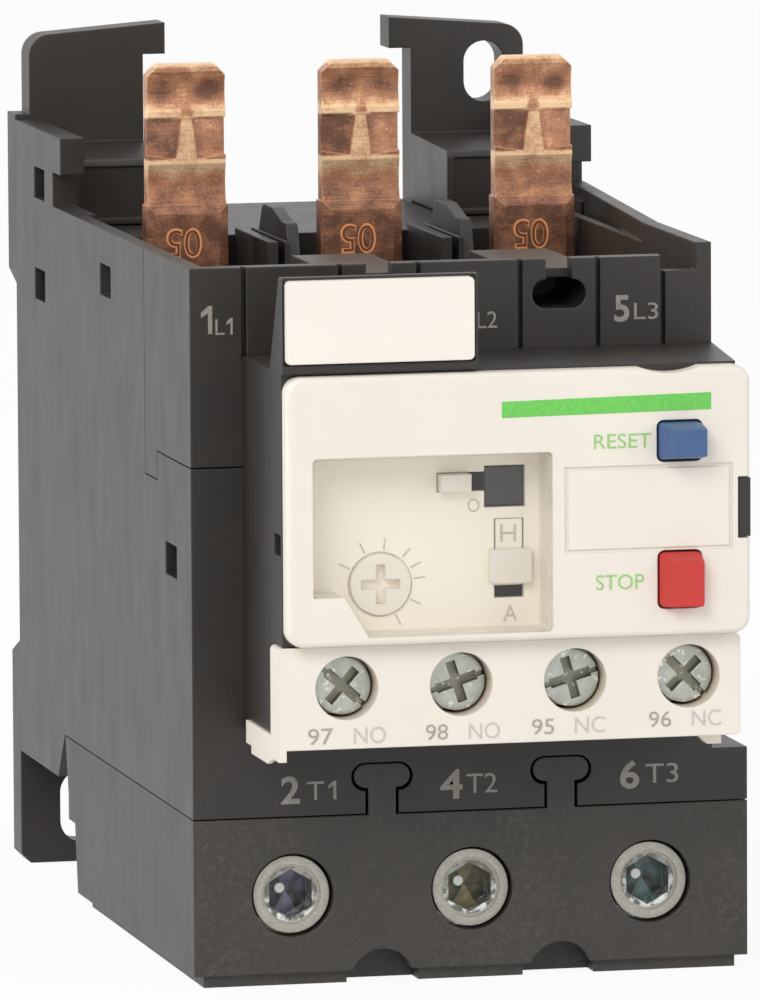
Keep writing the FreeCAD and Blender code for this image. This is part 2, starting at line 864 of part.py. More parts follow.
    barriers = []
    for side, sign in SIDES:
        centre = f"{sign} * half_pitch"
        fin_x = (f"{centre} - barrier_thick / 2 + pocket_wall",
                 f"{centre} + barrier_thick / 2 + pocket_wall")
        fin = [
            ("barrier_front", "recess_floor - floor_bite"),
            ("shelf_start", "recess_floor - floor_bite"),
            ("shelf_start", "shelf_top"),
            ("barrier_rear", "shelf_top"),
            ("barrier_rear - fin_back", "barrier_top", "fin_round"),
            ("barrier_rear - fin_back - fin_lobe", "barrier_top", "fin_round"),
            ("barrier_rear - fin_back - 2 * fin_lobe", "fin_brow"),
            ("barrier_front + fin_lean", "fin_brow", "fin_round"),
        ]
        barriers.append(prism(f"housing_{side}_barrier", "YZ", fin, *fin_x))
        left = f"{centre} - pocket_offset"
        inner = f"{left} + pocket_wall + pocket_gap"
        barriers.append(block(f"housing_{side}_pocket_wall", (left, f"{left} + pocket_wall"),
                              ("pocket_front", "shelf_start"),
                              ("recess_floor - floor_bite", "pocket_top")))
        barriers.append(block(f"housing_{side}_pocket_inner", (inner, f"{inner} + pocket_inner"),
                              ("pocket_front", "shelf_start"),
                              ("recess_floor - floor_bite", "pocket_top")))
    body = cut("housing_body", fuse("housing_blank", shell, *raised), *tools)
    keep("main_housing", fuse("main_housing", body, rib, *barriers))


def front_upper_cap():
    profile = [
        ("0", "cap_line + seam_gap"),
        ("cap_foot_start + seam_gap", "cap_line + seam_gap"),
        ("cap_foot_start + seam_gap", "cap_foot + seam_gap"),
        ("cap_depth - seam_gap", "cap_foot + seam_gap"),
        ("cap_depth - seam_gap", "housing_top"),
        ("0", "housing_top"),
    ]
    solid = prism("cap_solid", "YZ", profile, "-half_width", "front_right_x")
    hollow = block("cap_hollow",
                   ("-half_width + shell_wall", "front_right_x - shell_wall"),
                   ("shell_wall", "cap_foot_start"),
                   ("cap_line - 1", "cap_deck - deck_thick"))
    foot_hollow = block("cap_foot_hollow",
                        ("-half_width + shell_wall", "front_right_x - shell_wall"),
                        ("cap_foot_start - 1", "cap_depth - shell_wall"),
                        ("cap_foot - 1", "cap_deck - deck_thick"))
    tools = [hollow, foot_hollow]
    edges = ["-half_width + shell_wall", "-key_offset - key_block_half",
             "-key_offset + key_block_half", "key_offset - key_block_half",
             "key_offset + key_block_half", "front_right_x - shell_wall"]
    for number in range(3):
        tools.append(block(f"cap_recess_{number + 1}", (edges[2 * number], edges[2 * number + 1]),
                           ("cap_panel", "cap_depth + 1"), ("cap_deck", "housing_top + 1")))
    for side, sign in SIDES:
        centre = f"{sign} * key_offset"
        tools.append(block(f"cap_{side}_web",
                           (f"{centre} - key_block_half - 1", f"{centre} + key_block_half + 1"),
                           ("cap_panel", "cap_depth + 1"), ("key_block_top", "housing_top + 1")))
        tools.append(block(f"cap_{side}_neck",
                           (f"{centre} - key_neck / 2", f"{centre} + key_neck / 2"),
                           ("-1", "cap_panel"), ("key_head_z", "housing_top + 1")))
        tools.append(prism(f"cap_{side}_keyhole", "XZ",
                           rounded((f"{centre} - key_head_wide / 2", f"{centre} + key_head_wide / 2"),
                                   ("key_head_z - key_head_tall / 2",
                                    "key_head_z + key_head_tall / 2"), "key_head_round"),
                           "-1", "key_depth"))
    tools.append(block("cap_right_step", ("cap_step_x", "front_right_x - shell_wall"),
                       ("-1", "cap_panel"), ("cap_step_top", "housing_top + 1")))
    grooves = ["-edge_seam_x", "-key_offset - key_block_half", "-key_offset + key_block_half",
               "key_offset - key_block_half", "key_offset + key_block_half", "cap_step_x"]
    for number, x in enumerate(grooves, start=1):
        tools.append(block(f"cap_groove_{number}",
                           (f"{x} - groove_wide / 2", f"{x} + groove_wide / 2"),
                           ("-1", "groove_deep"), ("cap_deck", "housing_top + 1")))
    wall = block("cap_right_wall", ("front_right_x - shell_wall", "front_right_x"),
                 ("0", "cap_depth - seam_gap"), ("housing_top - shell_wall", "wall_top"))
    keep("front_upper_cap", fuse("front_upper_cap", cut("cap_body", solid, *tools), wall))


def rear_mounting_plate():
    half = [
        ("half_width - plate_corner", "0"),
        ("half_width", "plate_corner"),
        ("half_width", "flange_low_top"),
        ("plate_inset", "flange_low_end"),
        ("plate_inset", "flange_up_start"),
        ("half_width", "flange_up_low"),
        ("half_width", "flange_up_top"),
        ("ear_outer", "flange_up_top"),
        ("ear_outer", "hook_top_outer", "ear_round"),
        ("hook_inner", "hook_top_inner"),
        ("hook_inner", "hook_under"),
        ("ear_inner", "hook_under"),
        ("ear_inner", "shelf_top"),
    ]
    other = [("-(" + corner[0] + ")",) + corner[1:] for corner in reversed(half)]
    plate = prism("plate_sheet", "XZ", half + other, "body_depth", "body_depth + plate_thick")
    through = ("body_depth - 1", "body_depth + plate_thick + 1")
    openings = [slot("plate_ear_slot", "ear_slot_low", "ear_slot_high", "ear_slot_wide",
                     "ear_slot_x", through)]
    towers = []
    for side, sign in SIDES:
        openings.append(slot(f"plate_{side}_slot", "foot_slot_low", "foot_slot_high",
                             "foot_slot_wide", f"{sign} * foot_slot_x", through))
        wide = mirrored(("ear_inner", "half_width - block_wall - seam_gap"), sign)
        tower = prism(f"plate_{side}_tower_block", "YZ", [
            ("tower_front", "shelf_top + seam_gap"),
            ("body_depth + plate_thick / 2", "shelf_top + seam_gap"),
            ("body_depth + plate_thick / 2", "tower_top + tower_rise"),
            ("tower_front", "tower_top", "tower_round"),
        ], *wide)
        panel = block(f"plate_{side}_tower_panel",
                      (f"{wide[0]} + tower_panel_margin", f"{wide[1]} - tower_panel_margin"),
                      ("tower_front - 1", "tower_front + tower_panel_inset"),
                      ("shelf_top + tower_panel_margin", "tower_top - tower_panel_margin"))
        towers.append(cut(f"plate_{side}_tower", tower, panel))
    blank = cut("plate_blank", plate, *openings)
    keep("rear_mounting_plate", fuse("rear_mounting_plate", blank, *towers))


def terminal_block():
    profile = [
        ("0", "foot_lift"),
        ("block_heel", "foot_lift"),
        ("block_waist_y", "block_waist_z"),
        ("block_back", "block_waist_z"),
        ("block_back", "block_back_z"),
        ("block_hook_y", "band_bottom - seam_gap"),
        ("0", "band_bottom - seam_gap"),
    ]
    parts = [prism("block_solid", "YZ", profile, "-half_width", "half_width")]
    foot_y = ("foot_setback", "foot_setback + foot_length")
    foot_z = ("0", "foot_lift + 1")
    parts.append(block("block_centre_foot", ("-foot_centre_half", "foot_centre_half"),
                       foot_y, foot_z))
    for side, sign in SIDES:
        parts.append(block(f"block_{side}_foot", mirrored(("foot_inner", "foot_outer"), sign),
                           foot_y, foot_z))
        parts.append(mushroom(f"block_{side}_dovetail", f"{sign} * half_pitch",
                              "dovetail_neck", "dovetail_head",
                              ("band_bottom - 1", "dovetail_head_low + 1"),
                              "dovetail_head_low", "dovetail_head_high",
                              ("0", "dovetail_depth")))
    tools = []
    for side, sign in SIDES:
        tools.append(rod(f"block_{side}_notch", "y", "notch_radius", "-1", "notch_depth",
                         (f"{sign} * half_pitch", "0")))
    for number, x in POLES:
        tools.append(rod(f"block_well_{number}", "y", "well_radius", "-1", "well_wall + 1",
                         (x, "well_z")))
        tools.append(block(f"block_cage_pocket_{number}",
                           (f"{x} - cage_pocket_half", f"{x} + cage_pocket_half"),
                           ("well_wall", "cage_pocket_end"),
                           ("-1", "cage_pocket_top")))
        tools.append(block(f"block_bar_way_{number}",
                           (f"{x} - bar_half - bar_slot_gap", f"{x} + bar_half + bar_slot_gap"),
                           ("bar_front - bar_slot_gap", "bar_rear + bar_slot_gap"),
                           ("cage_pocket_top - 1", "band_bottom + 1")))
    keep("terminal_block", cut("terminal_block", fuse("block_blank", *parts), *tools))


def power_terminal(number, x):
    """Hex-socket screw, the clamp cage that it draws forward, and the fixed load bar."""
    head = rod(f"power_head_{number}", "y", "screw_head_radius", "screw_head_setback",
               "screw_head_rear", (x, "well_z"))
    shank = rod(f"power_shank_{number}", "y", "screw_shank_radius", "screw_head_rear - 1",
                "screw_end", (x, "well_z"))
    flats = "hex_flats / 2"
    point = "hex_flats / 2 / cos(30)"
    hexagon = [
        (f"{x} - {flats}", f"well_z - {point} / 2"),
        (x, f"well_z - {point}"),
        (f"{x} + {flats}", f"well_z - {point} / 2"),
        (f"{x} + {flats}", f"well_z + {point} / 2"),
        (x, f"well_z + {point}"),
        (f"{x} - {flats}", f"well_z + {point} / 2"),
    ]
    socket = prism(f"power_socket_{number}", "XZ", hexagon, "screw_head_setback - 1",
                   "screw_head_setback + hex_depth")
    dish = rod(f"power_dish_{number}", "y", "screw_dish_radius", "screw_head_setback - 1",
               "screw_head_setback + screw_rim", (x, "well_z"))
    keep(f"power_terminal_screw_{number}",
         cut(f"power_terminal_screw_{number}",
             fuse(f"power_screw_blank_{number}", head, shank), socket, dish))

    outer = prism(f"cage_outer_{number}", "XZ",
                  rounded((f"{x} - cage_half", f"{x} + cage_half"), ("cage_low", "cage_high"),
                          "cage_round"),
                  "cage_front", "cage_back")
    inner = block(f"cage_inner_{number}",
                  (f"{x} - cage_half + cage_wall", f"{x} + cage_half - cage_wall"),
                  ("cage_inner_front", "cage_inner_back"),
                  ("cage_low - 1", "cage_high + 1"))
    hole = rod(f"cage_hole_{number}", "y", "screw_shank_radius + thread_gap", "cage_front - 1",
               "cage_inner_front + 1", (x, "well_z"))
    keep(f"clamp_cage_{number}", cut(f"clamp_cage_{number}", outer, inner, hole))

    upright = block(f"bar_upright_{number}", (f"{x} - bar_half", f"{x} + bar_half"),
                    ("bar_front", "bar_rear"), ("bar_low", "bar_lead_z + lead_thick"))
    lead = block(f"bar_lead_{number}", (f"{x} - lead_half", f"{x} + lead_half"),
                 ("strip_rear", "bar_rear"), ("bar_lead_z", "bar_lead_z + lead_thick"))
    keep(f"load_bar_{number}", fuse(f"load_bar_{number}", upright, lead))


def heater(number, x):
    """Bimetal strip on the load bar's lead, with its flat heater winding round it."""
    foot = block(f"strip_foot_{number}", (f"{x} - lead_half", f"{x} + lead_half"),
                 ("strip_front", "strip_rear"), ("bar_lead_z", "bar_lead_z + lead_thick"))
    blade = block(f"strip_blade_{number}", (f"{x} - strip_thick / 2", f"{x} + strip_thick / 2"),
                  ("strip_front", "strip_rear"), ("bar_lead_z", "strip_top"))
    keep(f"bimetal_strip_{number}", fuse(f"bimetal_strip_{number}", foot, blade))

    reach_x = "(strip_thick / 2 + winding_gap + ribbon_thick)"
    reach_y = "(strip_wide / 2 + winding_gap + ribbon_thick)"
    turns = []
    for turn in range(int(amount("winding_turns"))):
        low = f"winding_low + {turn} * winding_pitch"
        ring_z = (low, f"{low} + ribbon_tall")
        outer = prism(f"winding_{number}_{turn}_outer", "XY",
                      rounded((f"{x} - {reach_x}", f"{x} + {reach_x}"),
                              (f"strip_y - {reach_y}", f"strip_y + {reach_y}"), "winding_round"), *ring_z)
        inner = block(f"winding_{number}_{turn}_inner",
                      (f"{x} - strip_thick / 2 - winding_gap", f"{x} + strip_thick / 2 + winding_gap"),
                      ("strip_front - winding_gap", "strip_rear + winding_gap"),
                      (f"{low} - 1", f"{low} + ribbon_tall + 1"))
        turns.append(cut(f"winding_{number}_{turn}", outer, inner))
    back = block(f"winding_back_{number}",
                 (f"{x} - strip_thick / 2", f"{x} + strip_thick / 2"),
                 ("strip_rear + winding_gap", "strip_rear + winding_gap + ribbon_thick"),
                 ("winding_low", "lead_low"))
    lug = block(f"winding_lug_{number}", (f"{x} - strip_thick / 2", f"{x} + strip_thick / 2"),
                ("strip_rear + winding_gap", "strip_rear + winding_gap + ribbon_thick"),
                ("bar_lead_z + lead_thick", "winding_low"))
    keep(f"heater_winding_{number}", fuse(f"heater_winding_{number}", *turns, back, lug))


def line_prong(number, x):
    """Formed copper blade that plugs into the contactor, with its lead to the heater."""
    half = "prong_wide / 2"
    blade = prism(f"prong_blade_{number}", "XZ", [
        (f"{x} - {half}", "lead_low"),
        (f"{x} + {half}", "lead_low"),
        (f"{x} + {half}", "prong_top - prong_chamfer"),
        (f"{x} + {half} - prong_chamfer", "prong_top"),
        (f"{x} - {half} + prong_chamfer", "prong_top"),
        (f"{x} - {half}", "prong_top - prong_chamfer"),
    ], "prong_front", "prong_front + prong_thick")
    side = f"({half} + prong_body_side)"
    swell = prism(f"prong_swell_{number}", "XY", [
        (f"{x} - {side}", "prong_front + prong_thick"),
        (f"{x} - {side}", "prong_front - prong_body_extra + prong_bevel / 2"),
        (f"{x} - {side} + prong_bevel", "prong_front - prong_body_extra"),
        (f"{x} + {side} - prong_bevel", "prong_front - prong_body_extra"),
        (f"{x} + {side}", "prong_front - prong_body_extra + prong_bevel / 2"),
        (f"{x} + {side}", "prong_front + prong_thick"),
    ], "lead_low", "prong_body_top")
    dips = []
    for side, sign in SIDES:
        edge = f"{x} + {sign} * ({half} + 1)"
        outline = prism(f"prong_{side}_wing_{number}", "XZ", [
            (f"{x} + {sign} * prong_rib_low / 2", "prong_step_low"),
            (edge, "prong_step_low + prong_step_rise"),
            (edge, "prong_step_high"),
            (f"{x} + {sign} * prong_rib_top / 2", "prong_step_high"),
        ], "prong_front - 1", "prong_front + prong_thick")
        slope = prism(f"prong_{side}_slope_{number}", "XY", [
            (f"{x} + {sign} * prong_rib_top / 2", "prong_front"),
            (edge, "prong_front + prong_dip"),
            (edge, "prong_front - 1"),
            (f"{x} + {sign} * prong_rib_top / 2", "prong_front - 1"),
        ], "prong_step_low - 1", "prong_step_high + 1")
        dips.append(common(f"prong_{side}_dip_{number}", outline, slope))
    for name, z in (("high", "prong_hollow_high"), ("low", "prong_hollow_low")):
        dips.append(rod(f"prong_{name}_hollow_{number}", "x", "prong_hollow_radius",
                        f"{x} - prong_wide", f"{x} + prong_wide",
                        ("prong_front + prong_hollow_deep - prong_hollow_radius", z)))
    lead = block(f"prong_lead_{number}", (f"{x} - lead_half", f"{x} + lead_half"),
                 ("strip_rear + winding_gap", "prong_front + prong_thick / 2"),
                 ("lead_low", "lead_high"))
    keep(f"line_prong_{number}",
         cut(f"line_prong_{number}", fuse(f"prong_blank_{number}", blade, swell, lead), *dips))


def control_module_body():
    profile = [
        ("-module_gap", "module_bottom"),
        ("-module_gap", "module_top"),
        ("module_front", "module_top"),
        ("module_front", "strip_line"),
        ("strip_seat", "strip_line"),
        ("strip_seat", "module_bottom"),
    ]
    shell = prism("module_shell", "YZ", profile, "module_left", "module_right")
    wedge = prism("module_wedge", "YZ", [
        ("shoulder_front", "module_top - 1"),
        ("holder_front + holder_crest", "holder_top"),
        ("holder_front", "holder_top"),
        ("holder_front", "module_top"),
        ("module_front + seam_gap", "module_top"),
        ("module_front + seam_gap", "module_top - 1"),
    ], "module_left", "holder_right")
    hollow = prism("module_hollow", "XY", [
        ("module_left + module_wall", "module_front - 1"),
        ("module_front_right - module_wall", "module_front - 1"),
        ("module_right - module_wall", "-module_wall"),
        ("module_left + module_wall", "-module_wall"),
    ], "module_floor", "module_top - module_wall")
    lean = prism("module_lean", "XY", [
        ("module_right", "-module_gap"),
        ("module_right + 2", "-module_gap"),
        ("module_right + 2", "holder_front - 1"),
        ("module_front_right", "holder_front - 1"),
        ("module_front_right", "module_front"),
    ], "module_bottom - 1", "holder_top + 1")
    latch_seat = block("module_latch_seat", ("latch_left", "module_right + 1"),
                       ("module_front - 1", "latch_rear"), ("latch_low", "latch_high"))
    marker_room = block("module_marker_room",
                        ("marker_left - seam_gap", "marker_right + seam_gap"),
                        ("holder_front - 1", "marker_front + marker_thick"),
                        ("marker_low - seam_gap", "holder_top + 1"))
    tools = [hollow, lean, latch_seat, marker_room]
    for number, x in WELLS:
        tools.append(block(f"module_pocket_{number}", (f"{x} - pocket_half", f"{x} + pocket_half"),
                           ("strip_seat - 1", "pocket_rear"),
                           ("pocket_bottom", "strip_line - contact_room_drop")))
        tools.append(rod(f"module_screw_room_{number}", "y", "aux_shank_radius + aux_shank_room",
                         "pocket_rear - 1", "-module_wall - 1", (x, "aux_z")))
    tools.append(block("module_lever_way", ("-lever_window_half", "lever_window_half"),
                       ("-module_wall - 1", "1"), ("lever_window_low", "lever_window_high")))
    tools.append(block("module_left_window", ("module_left - 1", "module_left + module_wall + 1"),
                       ("module_window_y - module_window_half", "module_window_y + module_window_half"),
                       ("module_window_z - 1", "module_window_z + 1")))
    for number, x in WELLS[:3] + (("4", "nc_arm_right"),):
        tools.append(block(f"module_arm_way_{number}",
                           (f"{x} - contact_arm - seam_gap", f"{x} + contact_arm + seam_gap"),
                           ("contact_front - seam_gap", "contact_rear + seam_gap"),
                           ("strip_line - 1", "strip_line + module_wall")))
    tools.append(block("module_arm_room",
                       ("well_first + 3 * well_pitch - pocket_half",
                        "nc_arm_right + contact_arm + seam_gap"),
                       ("contact_front - seam_gap", "contact_rear + seam_gap"),
                       ("strip_line - contact_way_drop", "strip_line - contact_room_drop")))
    pin = rod("module_lever_pin", "y", "lever_pin_radius", "lever_front - lever_pin_bite",
              "-module_wall / 2",
              ("lever_x", "lever_z"))
    blank = cut("module_blank", fuse("module_raw", shell, wedge), *tools)
    keep("control_module_body", fuse("control_module_body", blank, pin))


def pan_outline(inset):
    """Recess outline of the cover, with its stepped lower left corner round the dial."""
    return [
        (f"pan_left + {inset}", f"pan_step_z + {inset}"),
        (f"pan_step_x + {inset}", f"pan_step_z + {inset}"),
        (f"pan_step_low_x + {inset}", f"pan_bottom + {inset}"),
        (f"pan_right - {inset}", f"pan_bottom + {inset}", "pan_round"),
        (f"pan_right - {inset}", f"pan_top - {inset}", "pan_round"),
        (f"pan_left + {inset}", f"pan_top - {inset}", "pan_round"),
    ]


def front_cover():
    plate = prism("cover_plate", "XZ",
                  rounded(("cover_left", "cover_right"), ("cover_bottom", "cover_top"),
                          "cover_corner"), "cover_front", "module_front")
    soften(plate, "cover_edge", lambda edge: edge.BoundBox.YMax < 0.01)
    pan = prism("cover_pan", "XZ", pan_outline("-pan_wall"), "module_front - 1",
                "pan_floor + pan_wall")
    well = prism("cover_well", "XZ", pan_outline("0"), "cover_front - 1", "pan_floor")
    floor_y = ("pan_floor - 1", "pan_floor + pan_wall + 1")
    tools = [well]
    tools.append(rod("cover_dial_hole", "y", "dial_radius + dial_gap", *floor_y,
                     ("dial_x", "dial_z")))
    slot_half = "selector_slot_wide / 2"
    tools.append(block("cover_selector_slot",
                       (f"selector_x - {slot_half}", f"selector_x + {slot_half}"),
                       floor_y, ("selector_slot_low", "selector_slot_high")))
    tools.append(block("cover_indicator_slot",
                       ("indicator_left", "indicator_left + indicator_slot_wide"),
                       floor_y, ("indicator_low", "indicator_high")))
    tools.append(block("cover_test_window", ("test_left", "test_right"), floor_y,
                       ("test_low", "test_high")))
    for name, z, wide, tall in (("reset", "reset_z", "reset_wide", "reset_tall"),
                                ("stop", "stop_z", "stop_wide", "stop_tall")):
        half = f"({wide} / 2 + button_gap)"
        rise = f"({tall} / 2 + button_gap)"
        tools.append(prism(f"cover_{name}_hole", "XZ",
                           rounded((f"button_x - {half}", f"button_x + {half}"),
                                   (f"{z} - {rise}", f"{z} + {rise}"), "button_round + button_gap"),
                           "cover_front - 1", "module_front + 1"))
    through = ("cover_front - 1", "module_front + 1")
    tools.append(rod("cover_scoop", "y", "scoop_radius", *through,
                     ("scoop_x", "cover_top + scoop_radius - scoop_deep")))
    tools.append(block("cover_latch_notch", ("latch_left - seam_gap", "cover_right + 1"), through,
                       ("latch_low - seam_gap", "latch_high + seam_gap")))
    for side, z in (("low", ("pan_bottom - flap_pin_reach - flap_pin_room", "pan_bottom + 1")),
                    ("high", ("pan_top - 1", "pan_top + flap_pin_reach + flap_pin_room"))):
        tools.append(rod(f"cover_{side}_pivot", "z", "flap_pin_radius + flap_pin_gap", *z,
                         ("flap_axis_x", "flap_axis_y")))
    frame = cut("cover_label_frame",
                block("cover_label_outer", ("label_left", "label_right"),
                      ("cover_front - 1", "cover_front + label_deep"), ("label_low", "label_high")),
                block("cover_label_inner",
                      ("label_left + label_line", "label_right - label_line"),
                      ("cover_front - 2", "cover_front + 1"),
                      ("label_low + label_line", "label_high - label_line")))
    tools.append(frame)
    keep("front_cover", cut("front_cover", fuse("cover_blank", plate, pan), *tools))


def setting_cover():
    """Clear flap over the recess, on two short pins at its right edge."""
    y = ("cover_front + flap_setback", "cover_front + flap_setback + flap_thick")
    sheet_piece = prism("flap_sheet", "XZ", pan_outline("flap_gap"), *y)
    centre = ("flap_axis_x", "flap_axis_y")
    low = rod("flap_low_pin", "z", "flap_pin_radius", "pan_bottom - flap_pin_reach",
              "pan_bottom + flap_gap + 1", centre)
    high = rod("flap_high_pin", "z", "flap_pin_radius", "pan_top - flap_gap - 1",
               "pan_top + flap_pin_reach", centre)
    keep("setting_cover", fuse("setting_cover", sheet_piece, low, high))


def button(name, z, wide, tall, proud, draft):
    """Push button whose cap leans in to its face on the left, the top and the bottom."""
    left = f"button_x - {wide} / 2"
    right = f"button_x + {wide} / 2"
    low = f"{z} - {tall} / 2"
    high = f"{z} + {tall} / 2"
    face = f"cover_front - {proud}"
    outline = prism(f"{name}_outline", "XZ", rounded((left, right), (low, high), "button_round"),
                    face, "button_rear")
    plan = prism(f"{name}_plan", "XY", [
        (left, "cover_front"),
        (f"{left} + button_lean", face),
        (right, face),
        (right, "button_rear"),
        (left, "button_rear"),
    ], low, high)
    profile = prism(f"{name}_profile", "YZ", [
        ("cover_front", low),
        (face, f"{low} + {draft}_low"),
        (face, f"{high} - {draft}_high"),
        ("cover_front", high),
        ("button_rear", high),
        ("button_rear", low),
    ], left, right)
    cap = common(f"{name}_cap", outline, plan, profile)
    stem = rod(f"{name}_stem", "y", "stem_radius", "button_rear - 1", "stem_rear", ("button_x", z))
    collar = rod(f"{name}_collar", "y", "collar_radius", "stem_rear - collar_thick", "stem_rear",
                 ("button_x", z))
    keep(name, fuse(name, cap, stem, collar))


def coil_spring(name, z):
    """Compression spring of six-sided wire between a button's collar and the rear wall."""
    radius = amount("button_spring_radius")
    wire = amount("spring_wire")
    low = amount("front_y + stem_rear") + wire
    high = amount("front_y + stem_spring_end") - wire
    pitch = (high - low) / amount("spring_turns")
    helix = Part.makeHelix(pitch, high - low, radius)
    corners = [Vector(radius + wire * math.cos(math.radians(angle)), 0,
                      wire * math.sin(math.radians(angle))) for angle in range(0, 361, 60)]
    profile = Part.makePolygon(corners)
    tube = Part.Wire(helix.Edges).makePipeShell([profile], True, True)
    spring = document.addObject("Part::Feature", name)
    spring.Shape = tube
    spring.Placement = FreeCAD.Placement(
        Vector(amount("button_x"), low, amount(z)), TURNS["y"])
    keep(name, spring)


def setting_dial():
    centre = ("dial_x", "dial_z")
    disc = rod("dial_disc", "y", "dial_radius", "pan_floor - dial_proud", "dial_rear", centre)
    shaft = rod("dial_shaft", "y", "dial_shaft_radius", "dial_rear - 1", "dial_shaft_rear", centre)
    cam = rod("dial_cam", "y", "dial_cam_radius", "dial_shaft_rear - dial_cam_thick",
              "dial_shaft_rear", ("dial_x + dial_cam_throw", "dial_z"))
    recess_y = ("pan_floor - dial_proud - 1", "pan_floor - dial_proud + dial_cross_deep")
    reach = "dial_cross_long / 2"
    thin = "dial_cross / 2"
    across = block("dial_cross_flat", (f"dial_x - {reach}", f"dial_x + {reach}"), recess_y,
                   (f"dial_z - {thin}", f"dial_z + {thin}"))
    upright = block("dial_cross_tall", (f"dial_x - {thin}", f"dial_x + {thin}"), recess_y,
                    (f"dial_z - {reach}", f"dial_z + {reach}"))
    keep("setting_dial", cut("setting_dial", fuse("dial_blank", disc, shaft, cam), across, upright))


def reset_mode_selector():
    half = "selector_wide / 2"
    tall = "selector_tall / 2"
    knob = prism("selector_knob", "XZ",
                 rounded((f"selector_x - {half}", f"selector_x + {half}"),
                         (f"selector_z - {tall}", f"selector_z + {tall}"), "selector_round"),
                 "pan_floor - selector_proud", "pan_floor - slide_gap")
    stem = block("selector_stem",
                 ("selector_x - selector_stem_wide / 2", "selector_x + selector_stem_wide / 2"),
                 ("pan_floor", "pan_floor + pan_wall + selector_back"),
                 ("selector_slot_low + selector_travel + slide_gap",
                  "selector_slot_high - slide_gap"))
    bridge = block("selector_bridge",
                   ("selector_x - selector_stem_wide / 2", "selector_x + selector_stem_wide / 2"),
                   ("pan_floor - selector_proud / 2", "pan_floor + slide_gap"),
                   (f"selector_z - {tall} + selector_shoulder",
                                  f"selector_z + {tall} - selector_shoulder"))
    back = block("selector_back_plate",
                 ("selector_x - selector_back_wide / 2", "selector_x + selector_back_wide / 2"),
                 ("pan_floor + pan_wall + slide_gap", "pan_floor + pan_wall + selector_back"),
                 ("selector_slot_low + selector_travel - selector_back_over",
                  "selector_slot_high + selector_back_over"))
    keep("reset_mode_selector", fuse("reset_mode_selector", knob, bridge, stem, back))


def trip_indicator():
    flag = block("indicator_flag", ("indicator_left + 2 * slide_gap", "indicator_left + indicator_wide"),
                 ("pan_floor - indicator_proud", "pan_floor + pan_wall + indicator_back"),
                 ("indicator_low + 2 * slide_gap", "indicator_high - 2 * slide_gap"))
    foot = block("indicator_foot",
                 ("indicator_left - indicator_foot", "indicator_left + indicator_wide"),
                 ("pan_floor + pan_wall + slide_gap", "pan_floor + pan_wall + indicator_back"),
                 ("indicator_low - indicator_foot", "indicator_high + indicator_foot"))
    keep("trip_indicator", fuse("trip_indicator", flag, foot))


def test_button():
    face = block("test_face", ("test_left + test_gap", "test_right - test_gap"),
                 ("test_front", "test_rear"), ("test_low + test_gap", "test_high - test_gap"))
    flange = block("test_flange", ("test_left + test_gap", "test_right + test_flange"),
                   ("pan_floor + pan_wall + slide_gap", "test_rear"),
                   ("test_low + 2 * test_flange", "test_high + test_flange"))
    keep("test_button", fuse("test_button", face, flange))


def terminal_strip():
    """Cream strip with four wells, side clips that hook back under the module, and a foot."""
    plate = prism("strip_plate", "XZ",
                  rounded(("strip_left", "strip_right"),
                          ("strip_bottom", "strip_line - seam_gap"), "strip_corner"),
                  "strip_face", "strip_seat")
    wells = [rod(f"strip_well_{number}", "y", "aux_well_radius", "strip_face - 1",
                 "strip_seat + 1", (x, "aux_z")) for number, x in WELLS]
    clip = prism("strip_clip", "YZ", [
        ("strip_seat - 1", "clip_top"),
        ("strip_seat - 1", "clip_toe"),
        ("clip_bend", "clip_low"),
        ("clip_rear - clip_barb", "clip_low"),
        ("clip_rear - clip_barb", "clip_heel"),
        ("clip_rear", "clip_heel"),
        ("clip_rear", "clip_top"),
    ], "strip_left", "strip_left + clip_thick")
    tab = block("strip_tab", ("strip_left", "strip_left + strip_tab_wide"),
                ("strip_face", "strip_seat"), ("clip_toe", "strip_bottom + strip_corner"))
    foot = prism("strip_foot", "XZ", [
        ("foot_tab_left", "strip_bottom + strip_corner"),
        ("foot_tab_left + foot_tab_slope", "clip_toe"),
        ("foot_tab_right", "clip_toe"),
        ("foot_tab_right", "strip_bottom + strip_corner"),
    ], "strip_seat - foot_tab_deep", "strip_seat")
    keep("terminal_strip", fuse("terminal_strip", cut("strip_body", plate, *wells), clip, tab, foot))


